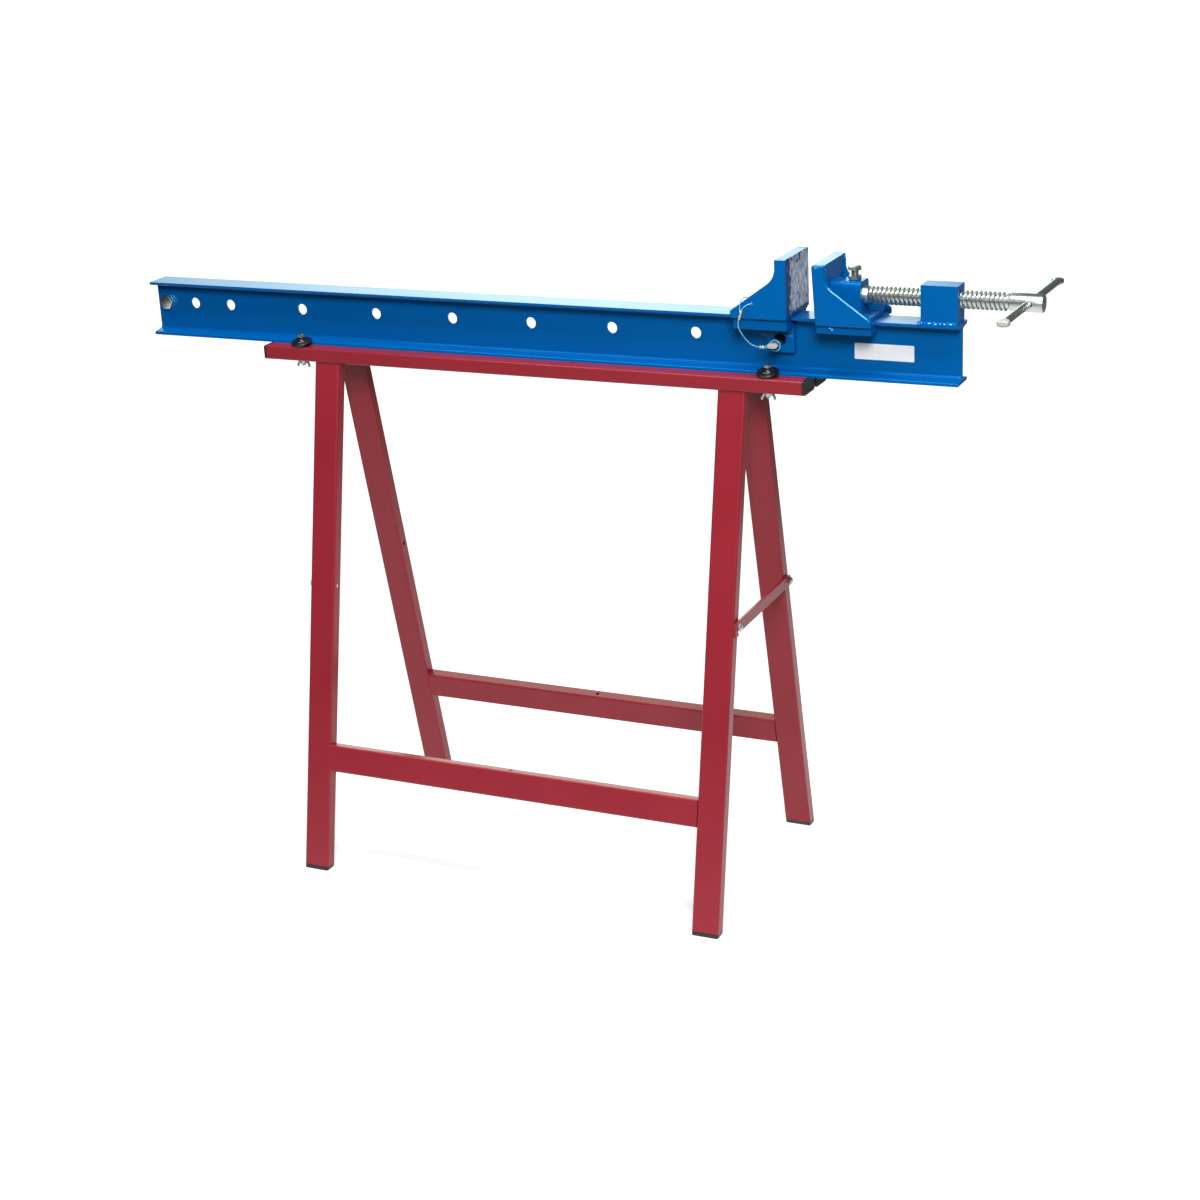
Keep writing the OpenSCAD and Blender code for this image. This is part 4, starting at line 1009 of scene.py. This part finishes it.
def light_room():
    """The room's own light: a glow of backdrop behind, which top faces mirror, and for shiny things
    only, more of it below the horizon and a pale sweep of floor in front. The camera sees plain white."""
    world = bpy.data.worlds.new("studio_air")
    bpy.context.scene.world = world
    world.use_nodes = True
    tree = world.node_tree
    tree.nodes.clear()
    seen = add(tree, "ShaderNodeLightPath", {})
    heading = add(tree, "ShaderNodeTexCoord", {}).outputs["Generated"]
    way = add(tree, "ShaderNodeSeparateXYZ", {"Vector": heading})

    behind = add(tree, "ShaderNodeMapRange", {
        "Value": way.outputs["Y"], "From Min": 0.2, "From Max": 0.7, "To Max": 3.0}, **SMOOTH)
    right_edge = add(tree, "ShaderNodeMapRange", {
        "Value": way.outputs["X"], "From Min": -0.235, "From Max": -0.33, "To Min": 0.04}, **SMOOTH)
    left_edge = add(tree, "ShaderNodeMapRange", {
        "Value": way.outputs["X"], "From Min": -0.68, "From Max": -0.42, "To Min": 0.2}, **SMOOTH)
    above = add(tree, "ShaderNodeMapRange", {
        "Value": way.outputs["Z"], "From Min": 0.0, "From Max": 0.14}, **SMOOTH)
    low_too = add(tree, "ShaderNodeMapRange", {
        "Value": way.outputs["Z"], "From Min": -0.4, "From Max": -0.25, "To Max": 0.5}, **SMOOTH)
    low_too = add(tree, "ShaderNodeMath", {0: low_too.outputs["Result"], 1: seen.outputs["Is Glossy Ray"]},
                  operation="MULTIPLY")
    height = add(tree, "ShaderNodeMath", {0: above.outputs["Result"], 1: low_too.outputs["Value"]},
                 operation="MAXIMUM")
    glow = behind.outputs["Result"]
    for edge in (right_edge.outputs["Result"], left_edge.outputs["Result"], height.outputs["Value"]):
        glow = add(tree, "ShaderNodeMath", {0: glow, 1: edge}, operation="MULTIPLY").outputs["Value"]

    dim = add(tree, "ShaderNodeMapRange", {
        "Value": way.outputs["Y"], "From Min": -0.4, "From Max": 0.3, "To Min": 0.03, "To Max": 0.04})
    below = add(tree, "ShaderNodeMapRange", {
        "Value": way.outputs["Z"], "From Min": -0.1, "From Max": -0.3, "To Max": 0.8}, **SMOOTH)
    nearer = add(tree, "ShaderNodeMapRange", {
        "Value": way.outputs["Y"], "From Min": 0.6, "From Max": -0.3, "To Min": 0.15})
    rightward = add(tree, "ShaderNodeMapRange", {
        "Value": way.outputs["X"], "From Min": -0.56, "From Max": -0.38, "To Min": 0.15}, **SMOOTH)
    sweep = below.outputs["Result"]
    for share in (seen.outputs["Is Glossy Ray"], nearer.outputs["Result"], rightward.outputs["Result"]):
        sweep = add(tree, "ShaderNodeMath", {0: sweep, 1: share}, operation="MULTIPLY").outputs["Value"]

    strength = glow
    for more in (dim.outputs["Result"], sweep):
        strength = add(tree, "ShaderNodeMath", {0: strength, 1: more}, operation="ADD").outputs["Value"]
    room = add(tree, "ShaderNodeBackground", {"Color": (0.9, 1.08, 0.95, 1), "Strength": strength})
    backdrop = add(tree, "ShaderNodeBackground", {"Color": WHITE, "Strength": 1.2})
    both = add(tree, "ShaderNodeMixShader", {
        "Fac": seen.outputs["Is Camera Ray"], 1: room.outputs["Background"],
        2: backdrop.outputs["Background"]})
    add(tree, "ShaderNodeOutputWorld", {"Surface": both.outputs["Shader"]})


def studio_paper():
    """Matt white paper that goes over into the white backdrop at its rim. It also glows, faintly in front and
    more behind the stand: painted light that keeps it white and washes out the stand's shadow behind it. What
    it throws back on the part falls off outside the stand."""
    material, tree, where = new_finish("white_studio_paper")
    pulp = add(tree, "ShaderNodeTexNoise", {"Vector": where, "Scale": per_mm(40), "Detail": 2})
    tone = add(tree, "ShaderNodeMix", {
        "Factor": pulp.outputs["Fac"], "A": linear("#DADADA"), "B": linear("#DEDEDE")},
        data_type="RGBA").outputs["Result"]
    part = add(tree, "ShaderNodeSeparateXYZ", {"Vector": where})
    # Painted light: the paper's glow rises towards the back, which washes out the stand's shadow there
    lift = add(tree, "ShaderNodeMapRange", {
        "Value": part.outputs["Y"], "From Min": -0.06, "From Max": 0.1, "To Min": 0.36, "To Max": 0.52},
        **SMOOTH)
    pale = add(tree, "ShaderNodeBsdfPrincipled", {
        "Base Color": tone, "Roughness": 0.9, "Emission Color": WHITE,
        "Emission Strength": lift.outputs["Result"]})
    rim = add(tree, "ShaderNodeEmission", {"Color": WHITE, "Strength": 1.1})
    far = add(tree, "ShaderNodeVectorMath", {0: where}, operation="LENGTH")
    outward = add(tree, "ShaderNodeMapRange", {
        "Value": far.outputs["Value"], "From Min": 0.7, "From Max": 1.3}, **SMOOTH)
    white = add(tree, "ShaderNodeMixShader", {
        "Fac": outward.outputs["Result"], 1: pale.outputs["BSDF"], 2: rim.outputs["Emission"]})
    outside = add(tree, "ShaderNodeMapRange", {
        "Value": far.outputs["Value"], "From Min": 0.45, "From Max": 0.85}, **SMOOTH)
    bounce = add(tree, "ShaderNodeMix", {
        "Factor": outside.outputs["Result"], "A": linear("#C4C4C4"), "B": linear("#585858")},
        data_type="RGBA").outputs["Result"]
    matt = add(tree, "ShaderNodeBsdfDiffuse", {"Color": bounce})
    thrown = add(tree, "ShaderNodeLightPath", {})
    sheet = add(tree, "ShaderNodeMixShader", {
        "Fac": thrown.outputs["Is Diffuse Ray"], 1: white.outputs["Shader"], 2: matt.outputs["BSDF"]})
    add(tree, "ShaderNodeOutputMaterial", {"Surface": sheet.outputs["Shader"]})
    return material


def make_studio():
    bpy.context.scene.view_settings.view_transform = "Standard"
    light_room()
    work = bmesh.new()
    bmesh.ops.create_circle(work, cap_ends=True, segments=96, radius=1.7)
    ground = piece("studio_floor", work, studio_paper())
    for name, at, aim, size, watts in (
            ("overhead_box", (0.2, -1.05, 4.29), (0.2, 0, 0.7), (5.6, 1.2), 172),
            ("key_box", (1.73, -3.31, 3.06), (0.2, 0, 0.6), (1.36, 1.36), 186)):
        lamp = bpy.data.lights.new(name, "AREA")
        lamp.shape = "RECTANGLE"
        lamp.size, lamp.size_y = size
        lamp.energy = watts
        light = bpy.data.objects.new(name, lamp)
        light.location = at
        light.rotation_euler = (Vector(aim) - Vector(at)).to_track_quat("-Z", "Y").to_euler()
        bpy.context.scene.collection.objects.link(light)


make_studio()
